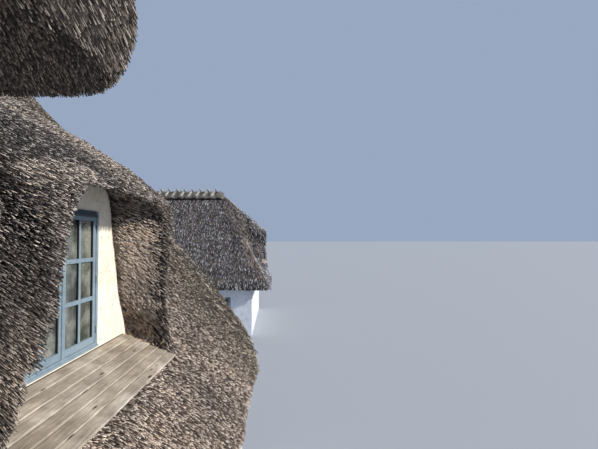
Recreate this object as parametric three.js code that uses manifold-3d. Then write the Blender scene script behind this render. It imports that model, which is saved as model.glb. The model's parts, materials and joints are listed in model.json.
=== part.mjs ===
// Thatched cottage in the Danish farmhouse tradition, in millimetres, +Z up.
// A main range runs along X with its garden front towards -Y. A cross wing stands at its far end,
// joined to it by a low link. Every roof is reed thatch with a straw ridge held by crossed riders.

import * as THREE from 'three';
import { mergeVertices } from 'three/addons/utils/BufferGeometryUtils.js';
import Module from 'manifold-3d';

const wasm = await Module();
wasm.setup();

// Clearances
const GAP = 0.3;
const LIFT = 0.45;

// Plan of the three ranges, to the outer faces of their walls
const WALL = 350;
const MAIN = { x0: -7000, x1: 9100, y0: 0, y1: 9800 };
const LINK = { x0: 9100, x1: 21300, y0: 6200, y1: 9800 };
const WING = { x0: 21300, x1: 29260, y0: 1030, y1: 12200 };
// The wing's garden end is a little out of square: how far it falls back for each millimetre along X
const SKEW = 0.044;

// Roof: outer reed surface, its thickness across the slope, and the eave
const PITCH = Math.tan(THREE.MathUtils.degToRad(47));
const THATCH = 350;
const DROP = THATCH * Math.hypot(1, PITCH);
const EAVE_OUT = 450;
const EAVE_TIP = 2409;
const SOFFIT = 2200;
// Each step of the rounded eave: how far in from its tip, and its height
const EAVE_NOSE = [[0, EAVE_TIP], [-2, 2320], [25, 2240], [80, SOFFIT]];

// Verges of the main range, and how the reed is rounded off in plan where verge and eave meet
const VERGE_OUT = 400;
const VERGE_CORNER = [[0, 550], [80, 130], [260, -190], [520, -340], [1000, -430], [1900, -480]];

// Full hips of the wing
const HIP_OUT = 850;
const HIP_RUN = 3020;

// Floors
const SLAB = 150;
const UPPER_FLOOR = { z0: 2500, z1: 2650 };

// Straw ridge and its crossed riders
const CAP_RISE = 160;
const CAP_HALF = 250;
const CAP_THICK = 120;
const RIDER_STEP = 455;
const RIDER_START = 500;
const RIDER_WIDTH = 100;
const RIDER_THICK = 50;
const RIDER_SINK = 12;
const RIDER_REACH = 460;
const RIDER_HORN = 170;

// Swept dormer: outer bell at its front edge, from the crown down to the roof
const BELL = [
  [0, 5180], [620, 5180], [1010, 5165], [1230, 5105], [1330, 5010], [1300, 4880], [1210, 4640],
  [1190, 4250], [1255, 3930], [1430, 3620], [1665, 3380], [2000, 3180], [2350, 3060],
];
const BELL_FOOT = 3380;
const BELL_CROWN = 5180;
const SPREAD = { near: 0.75, upTo: 750, far: 0.3 };
const WING_BELL_PROUD = 70;
// Reveal: its outline at the front edge and at the boards
const REVEAL_FRONT = [
  [0, 5150], [500, 5148], [780, 5116], [890, 5040], [975, 4930], [1060, 4650], [1120, 4380],
  [1215, 4000], [1390, 3640], [1440, 3480], [1450, 3290],
];
const BOARD_OUTLINE = [
  [0, 5340], [500, 5335], [830, 5312], [935, 5275], [985, 5160], [1050, 4750], [1120, 4400],
  [1220, 4000], [1360, 3700], [1440, 3580], [1440, 3530],
];
const REVEAL_DEPTH = 570;
const REVEAL_LEAD = 120;
const BOARD = 120;
const BOARD_FOOT = 3400;
const ROOM_RISE = 1250;
const DECK = { back: 3580, front: 3314, reach: 640, half: 1425 };
// How far the bed of the sill deck falls for each millimetre towards the front
const DECK_FALL = (BOARD_OUTLINE.at(-1)[1] - REVEAL_FRONT.at(-1)[1]) / REVEAL_DEPTH;

// Windows
const DORMER_WINDOW = { width: 1400, height: 1420, z: 3600 };
const FRAME = { stile: 100, mullion: 110, depth: 90, proud: 20, rebate: 14, glass: 6 };
const LOW_WINDOW = { width: 1200, height: 1100, z: 920, pane: 10, stile: 80, mullion: 90, depth: 90 };
const WINDOW_SET_BACK = 60;
const DOOR = { width: 1000, height: 2080, z: SLAB, depth: 80, frame: 70, leaf: 50 };
const GARDEN_DOOR = { width: 1600, height: 2050 };
const INNER_DOOR = { y: 8000, width: 900, height: 2050 };

// Front bay with its overhanging hood
const BAY = { half: 1100, wall: 300, cheek: 250, foot: 2350, top: 5240 };
// Each level of the hood: height, half width, front edge, corner radius
const HOOD = [
  [5240, 1565, -545, 230], [5330, 1590, -572, 240], [5450, 1600, -585, 240],
  [5570, 1570, -550, 240], [6300, 900, 60, 200], [7150, 60, 730, 20],
];
const HOOD_STEPS = 4;
const HOOD_ROOM = [[5100, 850, 250], [5790, 850, 250], [6560, 110, 830]];
const HOOD_FOOTING = 3500;

const COLOURS = {
  thatch: new THREE.MeshStandardMaterial({ color: 0x87786a, roughness: 1 }),
  straw: new THREE.MeshStandardMaterial({ color: 0x8f8373, roughness: 1 }),
  plaster: new THREE.MeshStandardMaterial({ color: 0xe9e8e4, roughness: 0.9 }),
  boards: new THREE.MeshStandardMaterial({ color: 0xeeebe2, roughness: 0.6 }),
  joinery: new THREE.MeshStandardMaterial({ color: 0x6f8ea3, roughness: 0.5 }),
  deck: new THREE.MeshStandardMaterial({ color: 0xa39a8c, roughness: 0.85 }),
  floor: new THREE.MeshStandardMaterial({ color: 0xb49a78, roughness: 0.7 }),
  screed: new THREE.MeshStandardMaterial({ color: 0xa8a49c, roughness: 0.9 }),
  glass: new THREE.MeshStandardMaterial({
    color: 0x9fb6bd, roughness: 0.05, transparent: true, opacity: 0.35,
  }),
};

const X = new THREE.Vector3(1, 0, 0);
const Y = new THREE.Vector3(0, 1, 0);
const Z = new THREE.Vector3(0, 0, 1);

// A closed three.js geometry as a solid that can be cut and joined
function solid(geometry) {
  const plain = geometry.clone();
  plain.deleteAttribute('normal');
  plain.deleteAttribute('uv');
  const merged = mergeVertices(plain, 0.001);
  return new wasm.Manifold(new wasm.Mesh({
    numProp: 3,
    vertProperties: merged.attributes.position.array,
    triVerts: merged.index.array,
  }));
}

function block(x0, x1, y0, y1, z0, z1) {
  const geometry = new THREE.BoxGeometry(x1 - x0, y1 - y0, z1 - z0);
  geometry.translate((x0 + x1) / 2, (y0 + y1) / 2, (z0 + z1) / 2);
  return solid(geometry);
}

function extruded(outline, length) {
  const shape = new THREE.Shape(outline.map(([a, b]) => new THREE.Vector2(a, b)));
  return new THREE.ExtrudeGeometry(shape, { depth: length, bevelEnabled: false });
}

// An upright prism whose plan is given as [x, y]
function plate(plan, z0, z1) {
  return solid(extruded(plan, z1 - z0).translate(0, 0, z0));
}

// A prism along X whose outline is given as [y, z]
function prismAlongX(outline, x0, x1) {
  const geometry = extruded(outline, x1 - x0);
  geometry.applyMatrix4(new THREE.Matrix4().makeBasis(Y, Z, X).setPosition(x0, 0, 0));
  return solid(geometry);
}

// A prism along Y whose outline is given as [x, z]
function prismAlongY(outline, y0, y1) {
  const geometry = extruded(outline, y1 - y0);
  geometry.applyMatrix4(new THREE.Matrix4().makeBasis(X, Z, Y.clone().negate()).setPosition(0, y1, 0));
  return solid(geometry);
}

// A large block on the side of a plane that its normal points to
function beyond(point, normal) {
  const size = 60000;
  const geometry = new THREE.BoxGeometry(size, size, size);
  geometry.translate(0, 0, size / 2);
  geometry.applyQuaternion(new THREE.Quaternion().setFromUnitVectors(Z, normal.clone().normalize()));
  geometry.translate(...point);
  return solid(geometry);
}

// A solid stretched over closed rings with the same number of points
function loft(rings) {
  const count = rings[0].length;
  const centre = (ring) => ring.reduce((sum, p) => sum.add(p), new THREE.Vector3()).divideScalar(count);
  const along = centre(rings.at(-1)).sub(centre(rings[0]));
  const area = new THREE.Vector3();
  rings[0].forEach((p, i) => area.add(p.clone().cross(rings[0][(i + 1) % count])));
  const turn = area.dot(along) > 0;
  const faces = [];
  const face = (a, b, c) => faces.push(...(turn ? [a, b, c] : [a, c, b]));
  for (let r = 0; r + 1 < rings.length; r += 1) {
    for (let i = 0; i < count; i += 1) {
      const j = (i + 1) % count;
      face(r * count + i, r * count + j, (r + 1) * count + j);
      face(r * count + i, (r + 1) * count + j, (r + 1) * count + i);
    }
  }
  const level = rings[0].every((p) => p.z === rings[0][0].z);
  const cap = (ring, first, outward) => {
    const flat = ring.map((p) => new THREE.Vector2(p.x, level ? p.y : p.z));
    for (const [a, b, c] of THREE.ShapeUtils.triangulateShape(flat, [])) {
      const normal = ring[b].clone().sub(ring[a]).cross(ring[c].clone().sub(ring[a]));
      const rest = normal.dot(outward) > 0 ? [b, c] : [c, b];
      faces.push(first + a, ...rest.map((corner) => first + corner));
    }
  };
  cap(rings[0], 0, along.clone().negate());
  cap(rings.at(-1), (rings.length - 1) * count, along);
  const geometry = new THREE.BufferGeometry().setFromPoints(rings.flat());
  geometry.setIndex(faces);
  return solid(geometry);
}

// The whole of an outline given as half of it, from the top of its middle line down
function mirrored(half) {
  return [...half, ...half.filter(([s]) => s > 0).map(([s, z]) => [-s, z]).reverse()];
}

function interpolate(table, at) {
  const next = table.findIndex(([key]) => key >= at);
  if (next <= 0) return table.at(next)[1];
  const [k0, v0] = table[next - 1];
  const [k1, v1] = table[next];
  return v0 + ((v1 - v0) * (at - k0)) / (k1 - k0);
}

// Heights of the two reed surfaces, by the distance in from the wall's outer face
const outerAt = (inward) => EAVE_TIP + PITCH * (inward + EAVE_OUT);
const innerAt = (inward) => outerAt(inward) - DROP;
const innerReach = (z) => (z - innerAt(0)) / PITCH;

function outerProfile(a, b, grow = 0) {
  const nose = EAVE_NOSE.map(([inward, z], i) => [
    inward - EAVE_OUT - grow, z + (i < 1 ? grow : -grow),
  ]);
  const half = (b - a) / 2;
  return [
    ...nose.map(([d, z]) => [a + d, z]).reverse(),
    [a + half, outerAt(half) + grow],
    ...nose.map(([d, z]) => [b - d, z]),
  ];
}

function innerProfile(a, b, grow = 0) {
  const half = (b - a) / 2;
  const edge = innerReach(SOFFIT) - grow;
  return [
    [a + edge, -10], [a + edge, SOFFIT + grow], [a + half, innerAt(half) + grow],
    [b - edge, SOFFIT + grow], [b - edge, -10],
  ];
}

const MAIN_RIDGE = { y: (MAIN.y0 + MAIN.y1) / 2, z: outerAt((MAIN.y1 - MAIN.y0) / 2) };
const WING_RIDGE = { x: (WING.x0 + WING.x1) / 2, z: outerAt((WING.x1 - WING.x0) / 2) };
const LINK_RIDGE = { y: (LINK.y0 + LINK.y1) / 2, z: outerAt((LINK.y1 - LINK.y0) / 2) };

// The wing's garden end: its line in plan, and the slope of the hip above it
const gardenLine = (x) => WING.y0 + SKEW * (x - WING.x0);
const GARDEN_RIDGE_END = WING.y0 - HIP_OUT + HIP_RUN;
const GARDEN_EAVE = gardenLine(WING_RIDGE.x) - HIP_OUT;
const GARDEN_SLOPE = (WING_RIDGE.z - EAVE_TIP) / (GARDEN_RIDGE_END - GARDEN_EAVE);
const BACK_SLOPE = (WING_RIDGE.z - EAVE_TIP) / HIP_RUN;
const gardenHipAt = (y) => EAVE_TIP + GARDEN_SLOPE * (y - GARDEN_EAVE);

// Swept dormers: middle line, front edge, roof slope behind it, and crown by depth
const DORMERS = {
  main_west: {
    x: -4000, y: 450, slope: PITCH, roof: outerAt(450),
    crown: [[0, 5180], [300, 5460], [500, 5600], [3850, 7530]],
    stations: [0, 150, 300, 500, 1000, 1900, 2900, 3850],
  },
  main_east: {
    x: 4000, y: 450, slope: PITCH, roof: outerAt(450),
    crown: [[0, 5180], [300, 5460], [500, 5600], [3850, 7530]],
    stations: [0, 150, 300, 500, 1000, 1900, 2900, 3850],
  },
  wing: {
    x: WING_RIDGE.x, y: 680, slope: GARDEN_SLOPE, roof: gardenHipAt(680),
    crown: [[0, 5080], [300, 5350], [2350, 7080]],
    stations: [0, 150, 300, 900, 1700, 2350],
  },
};

// The outer bell of a dormer, from its front edge back into the roof
function dormerBell(dormer) {
  const foot = dormer.roof - DORMERS.main_east.roof;
  return loft(dormer.stations.map((depth) => {
    const deeper = Math.max(depth - SPREAD.upTo, 0);
    const spread = SPREAD.near * (depth - deeper) + SPREAD.far * deeper;
    const low = dormer.slope * depth + foot;
    const high = interpolate(dormer.crown, depth) - BELL_CROWN;
    return mirrored(BELL).map(([s, z]) => {
      const share = THREE.MathUtils.clamp((z - BELL_FOOT) / (BELL_CROWN - BELL_FOOT), 0, 1);
      const wide = s + Math.sign(s) * spread * Math.min(Math.abs(s) / 1200, 1);
      return new THREE.Vector3(dormer.x + wide, dormer.y + depth, z + low + (high - low) * share);
    });
  }));
}

function outlineRing(dormer, half, y, grow = 0, rise = 0) {
  const top = half[0][1];
  const foot = half.at(-1)[1];
  return mirrored(half).map(([s, z]) => {
    const share = (z - foot) / (top - foot);
    const shift = rise * share + (share > 0.5 ? grow : -grow);
    return new THREE.Vector3(dormer.x + s + Math.sign(s) * grow, y, z + shift);
  });
}

// What is cut out of the thatch at a dormer: the reveal in front of its boards
function dormerReveal(dormer) {
  const start = REVEAL_FRONT.map(([s, z]) => [s, z - DECK_FALL * REVEAL_LEAD]);
  return loft([
    outlineRing(dormer, start, dormer.y - REVEAL_LEAD),
    outlineRing(dormer, REVEAL_FRONT, dormer.y),
    outlineRing(dormer, BOARD_OUTLINE, dormer.y + REVEAL_DEPTH + GAP),
  ]);
}

// and the room behind them
function dormerRoom(dormer) {
  const boards = dormer.y + REVEAL_DEPTH;
  const half = [...BOARD_OUTLINE.slice(0, -1), [BOARD_OUTLINE.at(-1)[0], BOARD_FOOT]];
  const back = dormer.y + dormer.stations.at(-1) - 50;
  return loft([
    outlineRing(dormer, half, boards - GAP, LIFT),
    outlineRing(dormer, half, boards + BOARD + GAP, LIFT),
    outlineRing(dormer, half, back, LIFT, ROOM_RISE),
  ]);
}

function dormerBoards(dormer) {
  const boards = dormer.y + REVEAL_DEPTH;
  const half = [...BOARD_OUTLINE.slice(0, -1), [BOARD_OUTLINE.at(-1)[0], BOARD_FOOT]];
  const { width, height, z } = DORMER_WINDOW;
  const hole = block(
    dormer.x - width / 2, dormer.x + width / 2, boards - 10, boards + BOARD + 10, z, z + height,
  );
  const wall = loft([outlineRing(dormer, half, boards), outlineRing(dormer, half, boards + BOARD)]);
  return wall.subtract(hole);
}

// The sloping sill deck, which lies on the reed and ends at the boards
function dormerDeck(dormer) {
  const inner = dormer.y + REVEAL_DEPTH - GAP;
  const outer = inner - DECK.reach;
  const bed = (y) => BOARD_OUTLINE.at(-1)[1] - DECK_FALL * (dormer.y + REVEAL_DEPTH - y) + LIFT;
  const outline = [[inner, bed(inner)], [inner, DECK.back], [outer, DECK.front], [outer, bed(outer)]];
  return prismAlongX(outline, dormer.x - DECK.half, dormer.x + DECK.half);
}

// Plan ring of the hood over the front bay, rounded at its two front corners
function hoodRing([z, half, front, radius], back) {
  const points = [new THREE.Vector3(half, back, z)];
  for (const [side, from] of [[1, 0], [-1, 1]]) {
    for (let i = 0; i <= HOOD_STEPS; i += 1) {
      const angle = ((Math.PI / 2) * Math.abs(from * HOOD_STEPS - i)) / HOOD_STEPS;
      points.push(new THREE.Vector3(
        side * (half - radius + radius * Math.cos(angle)),
        front + radius - radius * Math.sin(angle),
        z,
      ));
    }
  }
  points.push(new THREE.Vector3(-half, back, z));
  return points;
}

function levelRing(x0, x1, y0, y1, z) {
  return [[x0, y0], [x1, y0], [x1, y1], [x0, y1]].map(([x, y]) => new THREE.Vector3(x, y, z));
}

// Outer body of the main roof, rounded off in plan at the ends of its eaves
function mainOuter() {
  const west = MAIN.x0 - VERGE_OUT;
  const east = MAIN.x1 + VERGE_OUT;
  const front = VERGE_CORNER.map(([inward, y]) => [west + inward, MAIN.y0 + y]);
  const eastFront = VERGE_CORNER.map(([inward, y]) => [east - inward, MAIN.y0 + y]).reverse();
  const turned = [...front, ...eastFront].map(([x, y]) => [x, MAIN.y0 + MAIN.y1 - y]).reverse();
  return prismAlongX(outerProfile(MAIN.y0, MAIN.y1), west, east)
    .add(dormerBell(DORMERS.main_west))
    .add(dormerBell(DORMERS.main_east))
    .intersect(plate([...front, ...eastFront, ...turned], 0, 20000));
}

// Plan ring of the wing roof, by how far it reaches past the walls at its sides and its two ends
function wingRing(side, garden, back, z) {
  const x0 = WING.x0 - side;
  const x1 = WING.x1 + side;
  return [
    [x0, gardenLine(x0) - garden], [x1, gardenLine(x1) - garden],
    [x1, WING.y1 + back], [x0, WING.y1 + back],
  ].map(([x, y]) => new THREE.Vector3(x, y, z));
}

// Outer body of the wing roof, as levels from its soffit to its ridge
function wingOuter(grow = 0) {
  const rings = EAVE_NOSE.slice().reverse().map(([inward, z], i, all) => wingRing(
    EAVE_OUT - inward + grow, HIP_OUT - inward + grow, HIP_OUT - inward + grow,
    z + (i + 1 === all.length ? grow : -grow),
  ));
  const half = 10 + grow;
  const y1 = WING.y1 + HIP_OUT - HIP_RUN + grow;
  rings.push(levelRing(
    WING_RIDGE.x - half, WING_RIDGE.x + half, GARDEN_RIDGE_END - grow, y1, WING_RIDGE.z + grow,
  ));
  return loft(rings);
}

// The room under the wing roof, which may be sunk a little
function wingInner(sink) {
  const top = innerAt((WING.x1 - WING.x0) / 2) - sink;
  const inward = (slope, z) => (
    (z - EAVE_TIP + THATCH * Math.hypot(1, slope)) / slope - HIP_OUT + sink
  );
  const side = -innerReach(SOFFIT) - sink;
  const garden = -inward(GARDEN_SLOPE, SOFFIT);
  const back = -inward(BACK_SLOPE, SOFFIT);
  return loft([
    wingRing(side, garden, back, -10),
    wingRing(side, garden, back, SOFFIT - sink),
    levelRing(
      WING_RIDGE.x - 5, WING_RIDGE.x + 5, gardenLine(WING_RIDGE.x) + inward(GARDEN_SLOPE, top),
      WING.y1 - inward(BACK_SLOPE, top), top,
    ),
  ]);
}

// All that lies above the under-surface of the hip at one end of the wing
function aboveHip(end, sink) {
  const slope = end === 'garden' ? GARDEN_SLOPE : BACK_SLOPE;
  const drop = THATCH * Math.hypot(1, slope) + sink;
  return end === 'garden'
    ? beyond([WING_RIDGE.x, GARDEN_EAVE, EAVE_TIP - drop], new THREE.Vector3(slope * SKEW, -slope, 1))
    : beyond([WING_RIDGE.x, WING.y1 + HIP_OUT, EAVE_TIP - drop], new THREE.Vector3(0, slope, 1));
}

// A straw cap over a ridge, with its crossed wooden riders, along X from 0 to length
function ridgeCap(length) {
  const above = (s, thick) => thick * Math.hypot(1, PITCH) - PITCH * s;
  const side = [
    [90, above(90, CAP_THICK)], [CAP_HALF + 50, above(CAP_HALF + 50, CAP_THICK)],
    [CAP_HALF + 88, above(CAP_HALF + 88, CAP_THICK - 20)], [CAP_HALF + 30, above(CAP_HALF + 30, 5)],
    [CAP_HALF - 20, above(CAP_HALF, -40)],
  ];
  const slab = [[0, CAP_RISE], ...side, [0, -100], ...side.map(([s, z]) => [-s, z]).reverse()];
  let cap = prismAlongX(slab, 0, length);
  const run = length - 2 * RIDER_START;
  const count = Math.max(1, Math.round(run / RIDER_STEP));
  const along = new THREE.Vector2(1, -PITCH).normalize();
  const across = new THREE.Vector2(PITCH, 1).normalize();
  const crossing = above(0, CAP_THICK + RIDER_THICK / 2 - RIDER_SINK);
  const pole = (hand) => [
    [-RIDER_HORN, -RIDER_THICK / 2], [RIDER_REACH, -RIDER_THICK / 2],
    [RIDER_REACH, RIDER_THICK / 2], [-RIDER_HORN, RIDER_THICK / 2],
  ].map(([a, b]) => [hand * (along.x * a + across.x * b), crossing + along.y * a + across.y * b]);
  for (let i = 0; i <= count; i += 1) {
    const x = RIDER_START + (i * run) / count;
    cap = cap.add(prismAlongX(pole(1), x - RIDER_WIDTH / 2, x + RIDER_WIDTH / 2));
    cap = cap.add(prismAlongX(pole(-1), x - RIDER_WIDTH / 2, x + RIDER_WIDTH / 2));
  }
  return cap;
}

// A double casement with a rebate for its glass, standing on z = 0 and facing -Y
function casementFrame({ width, height }) {
  const half = width / 2;
  const inner = height - FRAME.stile;
  let frame = block(-half + GAP, half - GAP, 0, FRAME.depth, GAP, height - GAP);
  for (const side of [-1, 1]) {
    const edges = [side * (FRAME.mullion / 2), side * (half - FRAME.stile)].sort((a, b) => a - b);
    frame = frame.subtract(block(...edges, -10, FRAME.depth + 10, FRAME.stile, inner));
  }
  const edge = half - FRAME.stile + FRAME.rebate;
  return frame.subtract(block(
    -edge, edge, FRAME.depth - FRAME.glass - GAP, FRAME.depth + 10,
    FRAME.stile - FRAME.rebate, inner + FRAME.rebate,
  ));
}

function casementGlass({ width, height }) {
  const edge = width / 2 - FRAME.stile + FRAME.rebate - GAP;
  return block(
    -edge, edge, FRAME.depth - FRAME.glass, FRAME.depth,
    FRAME.stile - FRAME.rebate + GAP, height - FRAME.stile + FRAME.rebate - GAP,
  );
}

// A glazed double frame as one solid, facing -Y
function glazedFrame({ width, height }) {
  const { stile, mullion, depth, pane } = LOW_WINDOW;
  const half = width / 2;
  let frame = block(-half + GAP, half - GAP, 0, depth, GAP, height - GAP);
  for (const side of [-1, 1]) {
    const edges = [side * (mullion / 2), side * (half - stile)].sort((a, b) => a - b);
    for (const [y0, y1] of [[-10, (depth - pane) / 2], [(depth + pane) / 2, depth + 10]]) {
      frame = frame.subtract(block(...edges, y0, y1, stile, height - stile));
    }
  }
  return frame;
}

function boardedDoor({ width, height }) {
  const { depth, frame, leaf } = DOOR;
  const half = width / 2;
  const body = block(-half + GAP, half - GAP, 0, depth, GAP, height - GAP);
  const front = block(-half + frame, half - frame, -10, depth - leaf, frame / 2, height - frame);
  return body.subtract(front);
}

const house = new THREE.Group();

function addMesh(name, body, material) {
  const mesh = body.getMesh();
  const geometry = new THREE.BufferGeometry();
  geometry.setAttribute('position', new THREE.BufferAttribute(mesh.vertProperties, 3));
  geometry.setIndex(new THREE.BufferAttribute(mesh.triVerts, 1));
  geometry.computeVertexNormals();
  const object = new THREE.Mesh(geometry, material);
  object.name = name;
  house.add(object);
  return object;
}

// Every opening in a wall: which wall, where its middle is along the wall, and what fills it
const LOW = (name, at) => ({ name, at, z: LOW_WINDOW.z, ...LOW_WINDOW, make: glazedFrame });
const OPENINGS = {
  main_front_wall: [
    LOW('main_front_window_1', -5300), LOW('main_front_window_2', -2700),
    LOW('main_front_window_3', 3100), LOW('main_front_window_4', 6500),
    { name: 'front_door', at: 0, z: DOOR.z, ...DOOR, make: boardedDoor },
  ],
  main_back_wall: [
    LOW('main_back_window_1', -4400), LOW('main_back_window_2', 1150), LOW('main_back_window_3', 6700),
  ],
  main_west_gable_wall: [{ ...LOW('west_gable_window', MAIN_RIDGE.y), z: 3300 }],
  link_front_wall: [LOW('link_window_1', 12600), LOW('link_window_2', 17600)],
  wing_west_wall: [{ ...LOW('wing_west_window', 2650), z: 745 }],
  wing_east_wall: [
    LOW('wing_east_window_1', 3900), LOW('wing_east_window_2', 8900),
    { name: 'garden_door', at: 6400, z: SLAB, ...GARDEN_DOOR, make: glazedFrame },
  ],
};

// Walls: the plan box of each, which way it faces, and the room that its top stays under
const WALLS = {
  main_front_wall: { box: [MAIN.x0, MAIN.x1, MAIN.y0, MAIN.y0 + WALL], face: '-y' },
  main_back_wall: { box: [MAIN.x0, MAIN.x1, MAIN.y1 - WALL, MAIN.y1], face: '+y' },
  main_west_gable_wall: {
    box: [MAIN.x0, MAIN.x0 + WALL, MAIN.y0 + WALL + GAP, MAIN.y1 - WALL - GAP], face: '-x',
  },
  main_east_gable_wall: {
    box: [MAIN.x1 - WALL, MAIN.x1, MAIN.y0 + WALL + GAP, MAIN.y1 - WALL - GAP], face: '+x',
  },
  link_front_wall: { box: [LINK.x0 + GAP, LINK.x1 - GAP, LINK.y0, LINK.y0 + WALL], face: '-y' },
  link_back_wall: { box: [LINK.x0 + GAP, LINK.x1 - GAP, LINK.y1 - WALL, LINK.y1], face: '+y' },
  wing_west_wall: { box: [WING.x0, WING.x0 + WALL, WING.y0, WING.y1], face: '-x' },
  wing_east_wall: {
    box: [WING.x1 - WALL, WING.x1, gardenLine(WING.x1 - WALL), WING.y1], face: '+x',
  },
  wing_garden_wall: {
    box: [
      WING.x0 + WALL + GAP, WING.x1 - WALL - GAP, gardenLine(WING_RIDGE.x), gardenLine(WING_RIDGE.x) + WALL,
    ],
    face: '-y',
    top: 3350,
    skew: SKEW,
  },
  wing_back_wall: {
    box: [WING.x0 + WALL + GAP, WING.x1 - WALL - GAP, WING.y1 - WALL, WING.y1], face: '+y', top: 3350,
  },
};

// The body of a wall before its openings are cut. Its ends may be shifted across it by a skew
function wallBody({ box: [x0, x1, y0, y1], top = 9000, skew = 0 }) {
  const shift = (skew * (x1 - x0)) / 2;
  return plate([[x0, y0 - shift], [x1, y0 + shift], [x1, y1 + shift], [x0, y1 - shift]], 0, top);
}

// The space that a filling takes in its wall, through its whole thickness
function openingBlock(wall, { at, width, height, z }) {
  const [x0, x1, y0, y1] = wall.box;
  const along = wall.face.endsWith('y');
  return along
    ? block(at - width / 2, at + width / 2, y0 - 100, y1 + 100, z, z + height)
    : block(x0 - 100, x1 + 100, at - width / 2, at + width / 2, z, z + height);
}

// Turns a filling that faces -Y to the way its wall faces, set back from the outer face
function placeFilling(mesh, wall, { at, z }) {
  const [x0, x1, y0, y1] = wall.box;
  const places = {
    '-y': [at, y0 + WINDOW_SET_BACK, 0],
    '+y': [at, y1 - WINDOW_SET_BACK, Math.PI],
    '-x': [x0 + WINDOW_SET_BACK, at, -Math.PI / 2],
    '+x': [x1 - WINDOW_SET_BACK, at, Math.PI / 2],
  };
  const [x, y, turn] = places[wall.face];
  mesh.position.set(x, y, z);
  mesh.rotation.z = turn;
}

function addWalls() {
  const under = {
    main: prismAlongX(innerProfile(MAIN.y0, MAIN.y1, -LIFT), MAIN.x0 - 100, MAIN.x1 + 100),
    link: prismAlongX(innerProfile(LINK.y0, LINK.y1, -LIFT), LINK.x0 - 100, LINK.x1 + 100),
    wing: wingInner(LIFT),
  };
  for (const [name, wall] of Object.entries(WALLS)) {
    const range = name.split('_')[0];
    let body = wallBody(wall).intersect(under[range]);
    if (range === 'link') {
      body = body.subtract(wingOuter(LIFT));
    }
    for (const opening of OPENINGS[name] ?? []) {
      body = body.subtract(openingBlock(wall, opening));
    }
    if (name === 'main_front_wall') {
      body = body.subtract(block(-BAY.half - GAP, BAY.half + GAP, -100, WALL + 100, BAY.foot, 8000));
    }
    if (name === 'main_east_gable_wall' || name === 'wing_west_wall') {
      const door = { at: INNER_DOOR.y, width: INNER_DOOR.width, height: INNER_DOOR.height, z: SLAB };
      body = body.subtract(openingBlock(wall, door));
    }
    addMesh(name, body, COLOURS.plaster);
    for (const opening of OPENINGS[name] ?? []) {
      placeFilling(addMesh(opening.name, opening.make(opening), COLOURS.joinery), wall, opening);
    }
  }
}

function wingFloor(z0, z1) {
  const [x0, x1] = [WING.x0 + WALL + GAP, WING.x1 - WALL - GAP];
  const inner = (x) => gardenLine(x) + WALL + 2;
  const back = WING.y1 - WALL - GAP;
  return plate([[x0, inner(x0)], [x1, inner(x1)], [x1, back], [x0, back]], z0, z1);
}

function addFloors() {
  const inside = ({ x0, x1, y0, y1 }, z0, z1) => block(
    x0 + WALL + GAP, x1 - WALL - GAP, y0 + WALL + GAP, y1 - WALL - GAP, z0, z1,
  );
  const linkPlan = { ...LINK, x0: LINK.x0 - WALL, x1: LINK.x1 + WALL };
  addMesh('main_ground_floor', inside(MAIN, 0, SLAB), COLOURS.screed);
  addMesh('link_floor', inside(linkPlan, 0, SLAB), COLOURS.screed);
  addMesh('wing_ground_floor', wingFloor(0, SLAB), COLOURS.screed);
  addMesh('main_upper_floor', inside(MAIN, UPPER_FLOOR.z0, UPPER_FLOOR.z1), COLOURS.floor);
  addMesh('wing_upper_floor', wingFloor(UPPER_FLOOR.z0, UPPER_FLOOR.z1), COLOURS.floor);
}

function bayRoom(grow = 0) {
  return loft(HOOD_ROOM.map(([z, half, front]) => levelRing(
    -half - grow, half + grow, front - grow, MAIN_RIDGE.y - 60, z,
  )));
}

// The bay's front wall and its two cheeks, which stand on the slope of the roof
function addBay() {
  const top = BAY.top - LIFT;
  let walls = block(-BAY.half, BAY.half, 0, BAY.wall, BAY.foot + GAP, top);
  const foot = innerReach(UPPER_FLOOR.z1);
  const cheek = [
    [0, BAY.foot + GAP], [0, top], [innerReach(top), top], [foot, UPPER_FLOOR.z1], [foot, BAY.foot + GAP],
  ];
  for (const side of [-1, 1]) {
    const edges = [side * (BAY.half - BAY.cheek), side * BAY.half].sort((a, b) => a - b);
    walls = walls.add(prismAlongX(cheek, ...edges));
  }
  const { width, height, z } = DORMER_WINDOW;
  walls = walls.subtract(block(-width / 2, width / 2, -10, BAY.wall + 10, z, z + height));
  addMesh('front_bay_walls', walls, COLOURS.plaster);
}

function addDormerJoinery(name, x, face) {
  const frame = addMesh(`${name}_window_frame`, casementFrame(DORMER_WINDOW), COLOURS.joinery);
  const glass = addMesh(`${name}_window_glass`, casementGlass(DORMER_WINDOW), COLOURS.glass);
  for (const mesh of [frame, glass]) {
    mesh.position.set(x, face - FRAME.proud, DORMER_WINDOW.z);
  }
}

function addDormers() {
  for (const [name, dormer] of Object.entries(DORMERS)) {
    addMesh(`${name}_dormer_boards`, dormerBoards(dormer), COLOURS.boards);
    addMesh(`${name}_dormer_deck`, dormerDeck(dormer), COLOURS.deck);
    addDormerJoinery(`${name}_dormer`, dormer.x, dormer.y + REVEAL_DEPTH);
  }
}

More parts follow.
